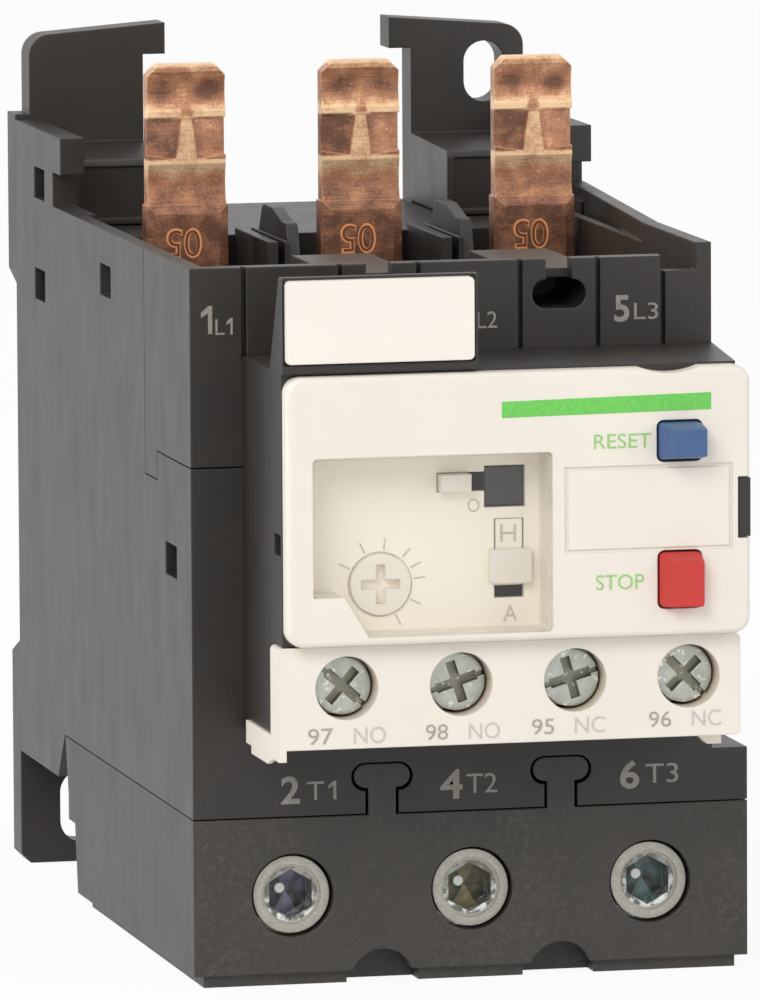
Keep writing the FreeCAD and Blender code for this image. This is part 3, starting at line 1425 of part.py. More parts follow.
def auxiliary_terminal(number, x):
    """Combination screw with its clamp plate, over a fixed contact that carries the wire."""
    head = rod(f"aux_head_{number}", "y", "aux_head_radius", "aux_head_front", "clamp_front",
               (x, "aux_z"))
    shank = rod(f"aux_shank_{number}", "y", "aux_shank_radius", "clamp_front - 1",
                "aux_shank_end", (x, "aux_z"))
    centre = (x, "aux_z")
    turn = f"aux_turn_{number}"
    slot_y = ("aux_head_front - 1", "aux_head_front + aux_slot_deep")
    cross_y = ("aux_head_front - 1", "aux_head_front + aux_cross_deep")
    recesses = [
        turned_bar(f"aux_slot_{number}", centre, turn, "aux_head_radius + 1", "aux_slot_wide", slot_y),
        turned_bar(f"aux_cross_{number}", centre, turn, "aux_cross_reach", "aux_cross_wide", cross_y),
        turned_bar(f"aux_crossbar_{number}", centre, f"({turn} + 90)", "aux_cross_reach",
                   "aux_cross_wide", cross_y),
    ]
    keep(f"aux_terminal_screw_{number}",
         cut(f"aux_terminal_screw_{number}", fuse(f"aux_screw_blank_{number}", head, shank),
             *recesses))
    plate = block(f"aux_plate_{number}", (f"{x} - clamp_half", f"{x} + clamp_half"),
                  ("clamp_front", "clamp_rear"), ("aux_z - clamp_half", "aux_z + clamp_half"))
    hole = rod(f"aux_plate_hole_{number}", "y", "aux_shank_radius + thread_gap",
               "clamp_front - 1", "clamp_rear + 1", (x, "aux_z"))
    keep(f"aux_clamp_plate_{number}", cut(f"aux_clamp_plate_{number}", plate, hole))


def fixed_contacts():
    y = ("contact_front", "contact_rear")
    tops = ("contact_no_top", "contact_no_top", "contact_nc_top", "contact_nc_top")
    for (number, x), top in zip(WELLS, tops):
        pad = block(f"contact_pad_{number}", (f"{x} - contact_half", f"{x} + contact_half"), y,
                    ("contact_low", "strip_line - contact_drop"))
        arm_x = "nc_arm_right" if number == "4" else x
        arm = block(f"contact_arm_{number}",
                    (f"{arm_x} - contact_arm", f"{arm_x} + contact_arm"), y,
                    ("strip_line - contact_arm_drop", top))
        pieces = [pad, arm]
        if number in "34":
            low = arm_x if number == "3" else f"{arm_x} - contact_tab"
            high = f"{arm_x} + contact_tab" if number == "3" else arm_x
            pieces.append(block(f"contact_tab_{number}", (low, high), y,
                                ("contact_nc_under", "contact_nc_top")))
        if number == "4":
            pieces.append(block("contact_foot_4", (x, arm_x), y,
                                ("strip_line - contact_arm_drop", "strip_line - contact_drop")))
        hole = rod(f"contact_hole_{number}", "y", "aux_shank_radius + thread_gap",
                   "contact_front - 1", "contact_rear + 1", (x, "aux_z"))
        keep(f"fixed_contact_{number}",
             cut(f"fixed_contact_{number}", fuse(f"contact_blank_{number}", *pieces), hole))


def marker_plate():
    keep("marker_plate", prism("marker_plate", "XZ",
                               rounded(("marker_left", "marker_right"),
                                       ("marker_low", "marker_high"), "marker_corner"),
                               "marker_front", "marker_front + marker_thick - marker_gap"))


def side_latch():
    keep("side_latch", block("side_latch", ("latch_left", "latch_left + latch_thick"),
                             ("latch_front", "latch_rear - seam_gap"), ("latch_low", "latch_high")))


def trip_sliders():
    """Two bars along the poles; their fingers stand on either side of the bimetal tips."""
    z = ("slider_low", "slider_high")
    for name, y, finger_y, side in (
            ("front", "slider_front_y", ("strip_front - slider_clear - slider_bar / 4",
                                         f"strip_front + finger_reach"), "-1"),
            ("rear", "slider_rear_y", (f"strip_rear - finger_reach",
                                       "strip_rear + slider_clear + slider_bar / 4"), "1")):
        pieces = [block(f"{name}_slider_bar", ("slider_left", "slider_right"),
                        (y, f"{y} + slider_bar"), z)]
        for number, x in POLES:
            edge = f"{x} + {side} * (strip_thick / 2 + slider_clear + slider_finger / 2)"
            pieces.append(block(f"{name}_slider_finger_{number}",
                                (f"{edge} - slider_finger / 2", f"{edge} + slider_finger / 2"),
                                finger_y, z))
        if name == "front":
            pieces.append(block("front_slider_arm", ("-slider_arm_half", "slider_arm_half"),
                                ("slider_arm_front", f"{y} + slider_arm_bite"), z))
        keep(f"trip_slider_{name}", fuse(f"trip_slider_{name}", *pieces))


def trip_lever():
    """Bell crank on a pin of the module: its foot stands at the slider's arm."""
    y = ("lever_front", "lever_front + lever_thick")
    hub = rod("lever_hub", "y", "lever_hub_radius", *y, ("lever_x", "lever_z"))
    down = block("lever_down", ("lever_x - lever_arm", "lever_x + lever_arm"), y,
                 ("lever_foot", "lever_z"))
    across = block("lever_across", ("lever_x", "lever_x + lever_reach"), y,
                   ("lever_z - lever_arm", "lever_z + lever_arm"))
    hole = rod("lever_hole", "y", "lever_pin_radius + lever_pin_gap", "lever_front - 1",
               "lever_front + lever_thick + 1", ("lever_x", "lever_z"))
    keep("trip_lever", cut("trip_lever", fuse("lever_blank", hub, down, across), hole))


def contact_carrier():
    """Sliding beam that holds the moving contact bridges."""
    y = ("carrier_front", "carrier_rear")
    centres = {"no": "well_first + well_pitch / 2",
               "nc": "(well_first + 2 * well_pitch + nc_arm_right) / 2"}
    beam = block("carrier_beam", (centres["no"], centres["nc"]), y,
                 ("carrier_low", "carrier_high"))
    pieces = [beam]
    slots = []
    bridges = []
    spans = {"no": ("well_first - contact_arm", "well_first + well_pitch + contact_arm"),
             "nc": ("well_first + 2 * well_pitch + contact_arm + bridge_end_gap",
                    "nc_arm_right - contact_arm - bridge_end_gap")}
    for kind, centre in centres.items():
        pieces.append(block(f"carrier_{kind}_holder",
                            (f"{centre} - bridge_holder", f"{centre} + bridge_holder"),
                            ("bridge_front - bridge_post", "carrier_rear"),
                            ("bridge_low - 1", "carrier_high")))
        z = ("bridge_low", "bridge_high")
        slots.append(block(f"carrier_{kind}_slot",
                           (f"{centre} - bridge_holder - 1", f"{centre} + bridge_holder + 1"),
                           ("bridge_front", "bridge_rear"), z))
        bridges.append(block(f"bridge_{kind}", spans[kind],
                             ("bridge_front", "bridge_rear"), z))
    pieces.append(block("carrier_nose", ("lever_x + lever_reach - nose_wide", "lever_x + lever_reach"),
                        ("carrier_rear - 1", "lever_front + lever_thick"),
                        ("carrier_high - 1", "lever_z - lever_arm - slider_clear / 2")))
    keep("contact_carrier", cut("contact_carrier", fuse("carrier_blank", *pieces), *slots))
    keep("moving_contacts", group("moving_contacts", *bridges))


def build():
    fill_sheet()
    main_housing()
    front_upper_cap()
    rear_mounting_plate()
    terminal_block()
    for number, x in POLES:
        power_terminal(number, x)
        heater(number, x)
        line_prong(number, x)
    control_module_body()
    front_cover()
    setting_cover()
    setting_dial()
    reset_mode_selector()
    trip_indicator()
    test_button()
    button("reset_button", "reset_z", "reset_wide", "reset_tall", "reset_proud", "reset_draft")
    button("stop_button", "stop_z", "stop_wide", "stop_tall", "stop_proud", "stop_draft")
    coil_spring("reset_spring", "reset_z")
    coil_spring("stop_spring", "stop_z")
    terminal_strip()
    for number, x in WELLS:
        auxiliary_terminal(number, x)
    fixed_contacts()
    marker_plate()
    side_latch()
    trip_sliders()
    trip_lever()
    contact_carrier()


def export():
    document.recompute()
    for thing in document.Objects:
        if {"Invalid", "Error"} & set(thing.State):
            raise RuntimeError(f"{thing.Label} failed: {thing.State}")
    for thing in kept:
        if thing.Shape.isNull() or not thing.Shape.isValid():
            raise RuntimeError(f"{thing.Label} has no valid shape")
    os.makedirs("parts", exist_ok=True)
    for thing in kept:
        thing.Shape.exportStep(f"parts/{thing.Label}.step")


build()
export()
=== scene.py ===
"""Looks of a three-pole overload relay: finishes, lettering, small trim, light and camera.

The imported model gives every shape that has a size. This script gives each of its nodes a
procedural finish, and adds what is printed, moulded or stamped on it. Lengths in the tables
below are millimetres in the model's frame: X to the right, Y to the back, Z up.
"""

import math

import bmesh
import bpy
from mathutils import Matrix, Vector


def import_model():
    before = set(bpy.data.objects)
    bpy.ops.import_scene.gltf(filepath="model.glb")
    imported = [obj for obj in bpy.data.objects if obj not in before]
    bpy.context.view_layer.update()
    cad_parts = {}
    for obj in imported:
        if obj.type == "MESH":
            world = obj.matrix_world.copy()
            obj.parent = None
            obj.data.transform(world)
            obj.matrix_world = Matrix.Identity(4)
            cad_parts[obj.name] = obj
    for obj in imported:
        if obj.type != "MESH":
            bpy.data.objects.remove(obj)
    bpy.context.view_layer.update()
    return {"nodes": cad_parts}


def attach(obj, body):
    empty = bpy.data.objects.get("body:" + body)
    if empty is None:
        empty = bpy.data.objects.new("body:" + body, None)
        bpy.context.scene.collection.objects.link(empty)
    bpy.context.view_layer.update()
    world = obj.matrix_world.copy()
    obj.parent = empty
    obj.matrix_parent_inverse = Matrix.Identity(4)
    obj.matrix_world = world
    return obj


MM = 0.001

# Camera, as solved from the photograph.
CAMERA_YAW = math.radians(13.02)
CAMERA_PITCH = math.radians(6.85)
CAMERA_ROLL = math.radians(-0.31)
CAMERA_DISTANCE = 1146.88
CAMERA_TARGET = (-8.92, -33.4, 46.88)
CAMERA_LENS = 429.57
CAMERA_SENSOR = 36.0
CAMERA_CLIP = (0.01, 50.0)

# Planes that face the viewer, as Y in millimetres.
HOUSING_FACE = -33.4
COVER_FACE = HOUSING_FACE - 19.0
STRIP_FACE = HOUSING_FACE - 17.0
RECESS_FACE = HOUSING_FACE - 13.5
SCREW_FACE = HOUSING_FACE + 0.7
CROSS_FACE = HOUSING_FACE - 15.0
BLADE_FACE = HOUSING_FACE + 45.7

# Small radii on the edges of each kind of finish, in millimetres.
PLASTIC_EDGE = 0.25
CREAM_EDGE = 0.2
COPPER_EDGE = 0.18
STEEL_EDGE = 0.12
SCREW_EDGE = 0.10
CLEAR_EDGE = 0.18

# Colours, linear.
CHARCOAL = (0.0212, 0.0174, 0.0146)
BLOCK_GREY = (0.0345, 0.0300, 0.0255)
CREAM = (0.85, 0.79, 0.70)
# Painted shade for screw wells, and painted light for the floor of a recess.
WELL_PAINTED_SHADE = (0.62, 0.50, 0.39)
RECESS_PAINTED_LIGHT = (1.0, 0.93, 0.81)
MARKER_WHITE = (0.90, 0.84, 0.76)
PRINT_GREEN = (0.16, 0.60, 0.10)
PRINT_LEAF = (0.34, 0.62, 0.22)
PRINT_GREY = (0.42, 0.38, 0.33)
PRINT_PALE = (0.62, 0.58, 0.52)
PRINT_TAN = (0.30, 0.27, 0.24)
BUTTON_BLUE = (0.050, 0.105, 0.240)
BUTTON_RED = (0.51, 0.032, 0.027)
WINDOW_BLACK = (0.0175, 0.0150, 0.0135)
INNER_TAN = (0.30, 0.24, 0.17)
CLEAR_TINT = (0.95, 0.94, 0.91)
# Painted shade for a stamp's floor and a painted highlight for its walls.
STAMP_SHADE = (0.16, 0.050, 0.022)
STAMP_HIGHLIGHT = (0.90, 0.36, 0.14)
BRASS = (0.78, 0.60, 0.30)
HEATER_GREY = (0.48, 0.46, 0.42)
SPRING_GREY = (0.55, 0.55, 0.55)
RING_GREY = (0.46, 0.44, 0.385)
# Painted highlight for the edges of a screw's ring.
RING_EDGE_HIGHLIGHT = (0.62, 0.62, 0.56)
CRESCENT_DARK = (0.16, 0.16, 0.13)
COPPER_BRIGHT = (1.0, 0.68, 0.40)
COPPER_MIDDLE = (0.54, 0.245, 0.128)
COPPER_DEEP = (0.170, 0.076, 0.046)
ZINC = (0.50, 0.52, 0.47)
# Painted shade for a screw's slot and rim, and a painted highlight for its edges.
ZINC_SHADE = (0.27, 0.265, 0.21)
ZINC_SCUFF = (0.85, 0.83, 0.75)
ZINC_EDGE_HIGHLIGHT = (0.86, 0.87, 0.80)
# Painted shade for the socket's facets.
SOCKET_FACET_SHADE = (0.030, 0.028, 0.026)
SOCKET_VIOLET = (0.17, 0.16, 0.23)
SOCKET_OLIVE = (0.25, 0.21, 0.11)
SOCKET_TEAL = (0.13, 0.21, 0.21)
# A painted glint, for the socket's bright spot and crescents.
SOCKET_GLINT = (0.80, 0.82, 0.80)

# How much brighter a pale speck is than its plastic, and how far light goes into pale plastic.
SPECK_BRIGHT = 5.0
CREAM_SCATTER = (0.0010, 0.0008, 0.0006)

# Where the round parts and the copper blades stand, in millimetres.
POLE_PITCH = 17.75
POWER_SCREW = (0.0, 8.8)
AUX_PITCH = 11.15
AUX_SCREW = (-16.17, 31.1)
WELL_RADIUS = 3.4

# The ring and socket of a power screw: sizes in millimetres, the socket's painted highlight spot
# and the facets of painted shade, and where along X its hue changes from pole to pole.
RING_INNER = 2.65
RING_DEPTH = 0.225
SOCKET_SIDES = 6
SOCKET_HALF = 2.1
SOCKET_HIGHLIGHT = (-0.55, 0.25)
SOCKET_HIGHLIGHT_RADIUS = 0.475
FACET_PHASE = 2.3
HUE_CHANGE = 8.5

# The head of an auxiliary screw: where its rim of painted shade starts and ends, and the depth of
# its slot.
RIM_START = 2.35
RIM_END = 2.70
SLOT_DEPTH = 0.40

# Painted light and shade of a copper blade by height, from its foot to its tip.
BLADE_PAINTED_LIGHT = (
    (58.0, 0.05), (69.0, 0.08), (71.2, 0.18), (71.5, 0.32), (72.4, 0.24), (73.4, 0.34),
    (74.4, 0.66), (75.3, 0.90), (75.8, 1.00), (76.0, 0.12), (79.9, 0.12), (80.1, 1.0),
    (80.8, 0.92), (81.5, 0.52), (82.7, 0.38), (84.2, 0.46), (85.0, 0.56), (85.2, 0.95),
)

# The pressed wedge and its painted highlight, the faint painted point above it, painted shade
# spots on both sides.
WEDGE_LOW = 75.9
WEDGE_HIGH = 80.1
WEDGE_FOOT_HALF = 1.15
WEDGE_HEAD_HALF = 0.62
WEDGE_HIGHLIGHT = 0.78
WEDGE_TIP = 84.1
TIP_HALF = 0.85
TIP_TONE = 0.52
SIDE_LIT = 0.30
SPOT_PLACE = (2.2, 82.8)
SPOT_REACH = (1.8, 1.4)
SPOT_PAINTED_SHADE = 0.55


class Nodes:
    """A node tree, with short calls that add nodes and join them."""

    def __init__(self, tree):
        self.tree = tree
        self.point = None

    def add(self, kind, inputs=None, **settings):
        """A node of that kind. Inputs are numbers, colours or other nodes' sockets."""
        node = self.tree.nodes.new("ShaderNode" + kind)
        for key, value in settings.items():
            setattr(node, key, value)
        for key, value in (inputs or {}).items():
            self.set(node, key, value)
        return node

    def set(self, node, key, value):
        """The node's input takes a number, a colour or another node's socket."""
        if isinstance(value, bpy.types.NodeSocket):
            self.tree.links.new(value, node.inputs[key])
        elif isinstance(value, tuple) and len(value) == 3 and node.inputs[key].type == "RGBA":
            node.inputs[key].default_value = (*value, 1.0)
        else:
            node.inputs[key].default_value = value

    def millimetres(self, stretch=(1.0, 1.0, 1.0)):
        """The point on the object, in millimetres, stretched along the axes."""
        if self.point is None:
            self.point = self.add("TexCoord").outputs["Object"]
        scale = tuple(1.0 / (MM * s) for s in stretch)
        return self.add("Mapping", {"Vector": self.point, "Scale": scale}).outputs["Vector"]

    def axes(self):
        """The point's three coordinates, in millimetres."""
        split = self.add("SeparateXYZ", {0: self.millimetres()}).outputs
        return split[0], split[1], split[2]

    def math(self, kind, *values, clamp=False):
        node = self.add("Math", operation=kind, use_clamp=clamp)
        for index, value in enumerate(values):
            self.set(node, index, value)
        return node.outputs[0]

    def plus(self, first, *others, clamp=False):
        """The sum of two or more values."""
        for value in others[:-1]:
            first = self.math("ADD", first, value)
        return self.math("ADD", first, others[-1], clamp=clamp)

    def minus(self, value, other):
        return self.math("SUBTRACT", value, other)

    def times(self, value, other, clamp=False):
        return self.math("MULTIPLY", value, other, clamp=clamp)

    def beside(self, x, first, pitch):
        """The distance to the nearest of several centres that stand in a row along X."""
        return self.math("WRAP", self.minus(x, first), pitch / 2, -pitch / 2)

    def radius(self, first, pitch):
        """The distance from the nearest centre of a row, in the plane that faces the viewer."""
        x, _, z = self.axes()
        across = self.beside(x, first[0], pitch)
        upward = self.minus(z, first[1])
        return self.math("SQRT", self.plus(self.times(across, across), self.times(upward, upward)))

    def near(self, value, centre, reach):
        """1 where the value is at the centre, down to 0 at that reach from it."""
        off = self.math("ABSOLUTE", self.minus(value, centre))
        return self.spread(off, 1.0, 0.0, 0.0, reach)

    def above(self, value, place, soft):
        """0 below a place and 1 above it, with a step that soft."""
        return self.spread(value, 0.0, 1.0, place - soft, place + soft)

    def below(self, value, place, soft):
        """1 below a place and 0 above it, with a step that soft."""
        return self.spread(value, 1.0, 0.0, place - soft, place + soft)

    def within(self, value, low, high, soft):
        """1 between two values and 0 outside them."""
        return self.times(self.above(value, low, soft), self.below(value, high, soft))

    def bands(self, value, stops):
        """A tone from 0 to 1 that follows the value through a list of (value, tone)."""
        low = stops[0][0]
        reach = stops[-1][0] - low
        ramp = self.add("ValToRGB", {"Fac": self.spread(value, 0.0, 1.0, low, low + reach)})
        elements = ramp.color_ramp.elements
        elements[0].color = (stops[0][1],) * 3 + (1.0,)
        elements[1].color = (stops[-1][1],) * 3 + (1.0,)
        for place, tone in stops[1:-1]:
            elements.new((place - low) / reach).color = (tone, tone, tone, 1.0)
        return ramp.outputs["Color"]

    def noise(self, per_mm, detail=2.0, stretch=(1.0, 1.0, 1.0), rough=0.5):
        """Noise from 0 to 1 with that many features to a millimetre."""
        inputs = {"Vector": self.millimetres(stretch), "Scale": per_mm, "Detail": detail,
                  "Roughness": rough}
        return self.add("TexNoise", inputs).outputs["Fac"]

    def spread(self, value, low, high, from_low=0.0, from_high=1.0):
        """The value, moved from one range to another and kept inside it."""
        inputs = {"Value": value, "From Min": from_low, "From Max": from_high, "To Min": low,
                  "To Max": high}
        return self.add("MapRange", inputs).outputs["Result"]

    def patches(self, per_mm, detail=2.0, low=0.0, high=1.0, start=0.35, end=0.65, rough=0.5):
        """Noise, moved to run from low to high between two of its own levels."""
        return self.spread(self.noise(per_mm, detail, rough=rough), low, high, start, end)

    def mix(self, share, first, second):
        """The first colour where the share is 0, the second where it is 1."""
        node = self.add("Mix", data_type="RGBA")
        for index, value in ((0, share), (6, first), (7, second)):
            if isinstance(value, bpy.types.NodeSocket):
                self.tree.links.new(value, node.inputs[index])
            elif isinstance(value, tuple):
                node.inputs[index].default_value = (*value, 1.0)
            else:
                node.inputs[index].default_value = value
        return node.outputs[2]

    def rounded_edges(self, radius):
        """The normal with small radii on sharp edges, and a mask that is 1 on those edges."""
        bevel = self.add("Bevel", {"Radius": radius * MM}, samples=6).outputs["Normal"]
        flat = self.add("NewGeometry").outputs["Normal"]
        likeness = self.add("VectorMath", {0: bevel, 1: flat}, operation="DOT_PRODUCT")
        edge = self.spread(likeness.outputs["Value"], 1.0, 0.0, 0.80, 0.995)
        return bevel, edge

    def bump(self, height, depth, strength, normal):
        inputs = {"Height": height, "Distance": depth * MM, "Strength": strength,
                  "Normal": normal}
        return self.add("Bump", inputs).outputs["Normal"]

    def seen(self):
        """1 for rays from the camera, mirrored or through clear plastic; 0 for rays that light."""
        path = self.add("LightPath").outputs
        straight = self.math("MAXIMUM", path["Is Camera Ray"], path["Is Glossy Ray"])
        return self.math("MAXIMUM", straight, path["Is Transmission Ray"])


class Finish(Nodes):
    """A material with its node tree and its shader."""

    def __init__(self, name):
        self.material = bpy.data.materials.new(name)
        self.material.use_nodes = True
        super().__init__(self.material.node_tree)
        self.shader = self.tree.nodes["Principled BSDF"]

    def shade(self, **values):
        """The shader's inputs, with an underscore for each space of their names."""
        for key, value in values.items():
            self.set(self.shader, key.replace("_", " "), value)


def scaled(colour, factor):
    """The colour, darker or lighter by that factor and never above full."""
    return tuple(min(1.0, channel * factor) for channel in colour)


def plastic(name, colour, rough=0.42, grain=0.35, wear_and_edge_light=1.6, dusty=1.5, speckle=0.0):
    """Moulded plastic: slight flow marks, dust, fine grain, pale specks and lighter edges, worn
    and painted as a highlight.

    The edge factor and dusty say how much brighter an edge and dust are; speckle is the specks'
    share.
    """
    finish = Finish(name)
    normal, edge = finish.rounded_edges(PLASTIC_EDGE)
    body = finish.mix(finish.patches(0.12, 4.0), scaled(colour, 0.88), scaled(colour, 1.12))
    dust = finish.times(finish.patches(2.2, 6.0, start=0.50, end=0.70, rough=0.75),
                        finish.patches(0.10, 4.0, 0.15, 0.75, 0.40, 0.62))
    body = finish.mix(dust, body, scaled(colour, dusty))
    # Edges painted lighter: partly worn, partly a painted highlight.
    worn_and_edge_lit = finish.mix(edge, body, scaled(colour, wear_and_edge_light))
    if speckle:
        dots = finish.patches(5.0, 3.0, 0.0, speckle, 0.64, 0.70)
        worn_and_edge_lit = finish.mix(dots, worn_and_edge_lit, scaled(colour, SPECK_BRIGHT))
    smear = finish.noise(0.35, 3.0, (1.0, 1.0, 3.0))
    finish.shade(Base_Color=worn_and_edge_lit, Roughness=finish.spread(smear, rough - 0.06, rough + 0.08),
                 Normal=finish.bump(finish.noise(9.0), 0.02, grain, normal))
    return finish.material


def cream_plastic(name, colour, rough=0.38, wells=False, recess=False):
    """Pale moulded plastic: very even, faintly wavy, with painted tan shade in screw wells or
    painted light in a recess.
    """
    finish = Finish(name)
    normal, edge = finish.rounded_edges(CREAM_EDGE)
    tone = finish.patches(0.08, 3.0, start=0.3, end=0.7)
    body = finish.mix(tone, scaled(colour, 0.965), scaled(colour, 1.01))
    if wells:
        # Painted shade: the screw wells turn tan the deeper they go.
        _, y, _ = finish.axes()
        deep = finish.spread(y, 0.0, 0.8, STRIP_FACE + 0.2, STRIP_FACE + 1.6)
        inside = finish.below(finish.radius(AUX_SCREW, AUX_PITCH), WELL_RADIUS, 0.1)
        body = finish.mix(finish.times(deep, inside), body, WELL_PAINTED_SHADE)
    if recess:
        # Painted light: the floor of the recess is brightened against its shade.
        _, y, _ = finish.axes()
        body = finish.mix(finish.above(y, RECESS_FACE - 0.3, 0.2), body, RECESS_PAINTED_LIGHT)
    # Edges painted lighter: partly worn, partly a painted highlight.
    worn_and_edge_lit = finish.mix(finish.spread(edge, 0.0, 0.5), body, scaled(colour, 1.06))
    gloss = finish.patches(0.5, 3.0, rough - 0.05, rough + 0.07, 0.0, 1.0)
    finish.shade(Base_Color=worn_and_edge_lit, Roughness=gloss, Subsurface_Weight=0.05,
                 Subsurface_Radius=CREAM_SCATTER,
                 Normal=finish.bump(finish.noise(6.0, 3.0), 0.015, 0.25, normal))
    return finish.material


def copper(name, tone_of):
    """Copper: tone from dark brown to bright, painted light and shade on a blade, fine drawn
    lines, edges painted brighter.
    """
    finish = Finish(name)
    normal, edge = finish.rounded_edges(COPPER_EDGE)
    cloud = finish.patches(0.55, 5.0, -0.16, 0.16)
    lines = finish.noise(2.6, 6.0, (7.0, 1.0, 0.35), 0.6)
    drawn = finish.spread(lines, -0.09, 0.09, 0.35, 0.65)
    grain = finish.patches(4.5, 4.0, -0.10, 0.10)
    speck = finish.patches(1.7, 5.0, 0.0, 0.42, 0.68, 0.74)
    tone = finish.plus(tone_of(finish), cloud, drawn, grain, speck)
    # Edges painted brighter: a painted highlight.
    tone = finish.plus(tone, finish.times(edge, 0.40), clamp=True)
    low = finish.mix(finish.spread(tone, 0.0, 1.0, 0.0, 0.5), COPPER_DEEP, COPPER_MIDDLE)
    body = finish.mix(finish.spread(tone, 0.0, 1.0, 0.5, 1.0), low, COPPER_BRIGHT)
    dented = finish.bump(finish.noise(0.7), 0.10, 0.25, normal)
    finish.shade(Base_Color=body, Metallic=0.35, Normal=finish.bump(lines, 0.015, 0.3, dented),
                 Roughness=finish.spread(lines, 0.28, 0.46, 0.3, 0.7))
    return finish.material


def blade_painted_light(finish):
    """The painted light and shade of a formed blade: bands by height, shade spots in its hollow, a
    lit side, a highlighted wedge.
    """
    x, _, z = finish.axes()
    offset = finish.beside(x, 0.0, POLE_PITCH)
    across = finish.math("ABSOLUTE", offset)
    # Painted shade: dark spots in the hollow on both sides.
    spot = finish.times(finish.near(across, SPOT_PLACE[0], SPOT_REACH[0]),
                        finish.near(z, SPOT_PLACE[1], SPOT_REACH[1]))
    tone = finish.minus(finish.bands(z, BLADE_PAINTED_LIGHT), finish.times(spot, SPOT_PAINTED_SHADE))
    # Painted light: the right side of the wedge band is lighter.
    lit = finish.times(finish.spread(offset, 0.0, SIDE_LIT, 0.4, 1.6),
                       finish.within(z, WEDGE_LOW + 0.2, WEDGE_HIGH - 0.2, 0.1))
    tone = finish.plus(tone, lit)
    # Painted highlight on the wedge; the point above it takes a painted mid tone.
    half = finish.spread(z, WEDGE_FOOT_HALF, WEDGE_HEAD_HALF, WEDGE_LOW, WEDGE_HIGH)
    wedge = finish.times(finish.times(finish.minus(half, across), 6.0, clamp=True),
                         finish.within(z, WEDGE_LOW - 0.3, WEDGE_HIGH, 0.3))
    half = finish.spread(z, TIP_HALF, 0.0, WEDGE_HIGH, WEDGE_TIP)
    tip = finish.times(finish.times(finish.minus(half, across), 3.0, clamp=True),
                       finish.within(z, WEDGE_HIGH, WEDGE_TIP, 0.2))
    tone = finish.plus(finish.times(tone, finish.minus(1.0, tip)), finish.times(tip, TIP_TONE))
    return finish.math("MAXIMUM", tone, finish.times(wedge, WEDGE_HIGHLIGHT))


def plain_tone(finish):
    """The even tone of the flat copper bars inside."""
    return finish.patches(0.2, 3.0, 0.35, 0.60, 0.0, 1.0)


def steel(name, colour, rough=0.32):
    """Plated steel: fine machining marks, dull clouds and edges painted brighter as a highlight.
    """
    finish = Finish(name)
    normal, edge = finish.rounded_edges(STEEL_EDGE)
    body = finish.mix(finish.patches(0.9, 4.0), scaled(colour, 0.80), colour)
    # Edges painted brighter: a painted highlight.
    bright = finish.mix(edge, body, scaled(colour, 1.25))
    marks = finish.noise(4.0, 4.0)
    finish.shade(Base_Color=bright, Metallic=1.0, Normal=finish.bump(marks, 0.015, 0.35, normal),
                 Roughness=finish.spread(marks, rough - 0.08, rough + 0.12))
    return finish.material


def socket_screw():
    """A matt zinc-plated ring round a dark polished hexagon socket with coloured passivation,
    painted glints and highlights.
    """
    finish = Finish("socket_screw")
    normal, edge = finish.rounded_edges(SCREW_EDGE)
    x, y, z = finish.axes()
    across = finish.beside(x, POWER_SCREW[0], POLE_PITCH)
    upward = finish.minus(z, POWER_SCREW[1])
    inside = finish.times(finish.above(y, SCREW_FACE + RING_DEPTH, 0.075),
                          finish.below(finish.radius(POWER_SCREW, POLE_PITCH), RING_INNER, 0.05))
    grain = finish.noise(5.0, 4.0)
    matt = finish.spread(grain, 0.0, 1.0, 0.40, 0.62)
    ring = finish.mix(matt, scaled(RING_GREY, 0.80), RING_GREY)
    # Painted glints on the crescents round the socket, more of them low down.
    glint = finish.times(finish.patches(1.5, 2.0, start=0.46, end=0.62),
                         finish.spread(upward, 1.0, 0.25, -1.2, 1.0))
    crescent = finish.mix(glint, CRESCENT_DARK, SOCKET_GLINT)
    hollow = socket_hollow(finish, x, across, upward)
    body = finish.mix(inside, ring, finish.mix(hexagon(finish, across, upward), crescent, hollow))
    # Edges painted brighter: a painted highlight.
    bright = finish.mix(finish.times(edge, 0.4), body, RING_EDGE_HIGHLIGHT)
    finish.shade(Base_Color=bright, Metallic=finish.spread(inside, 0.55, 0.35),
                 Roughness=finish.spread(inside, 0.50, 0.22),
                 Normal=finish.bump(grain, 0.03, 0.30, normal))
    return finish.material


def hexagon(finish, across, upward):
    """1 within the hexagon of a socket and 0 outside it."""
    half_across = finish.times(across, 0.5)
    high = finish.times(upward, math.cos(math.pi / SOCKET_SIDES))
    slanted = finish.math("MAXIMUM", finish.math("ABSOLUTE", finish.plus(half_across, high)),
                          finish.math("ABSOLUTE", finish.minus(half_across, high)))
    flats = finish.math("MAXIMUM", finish.math("ABSOLUTE", across), slanted)
    return finish.below(flats, SOCKET_HALF, 0.04)


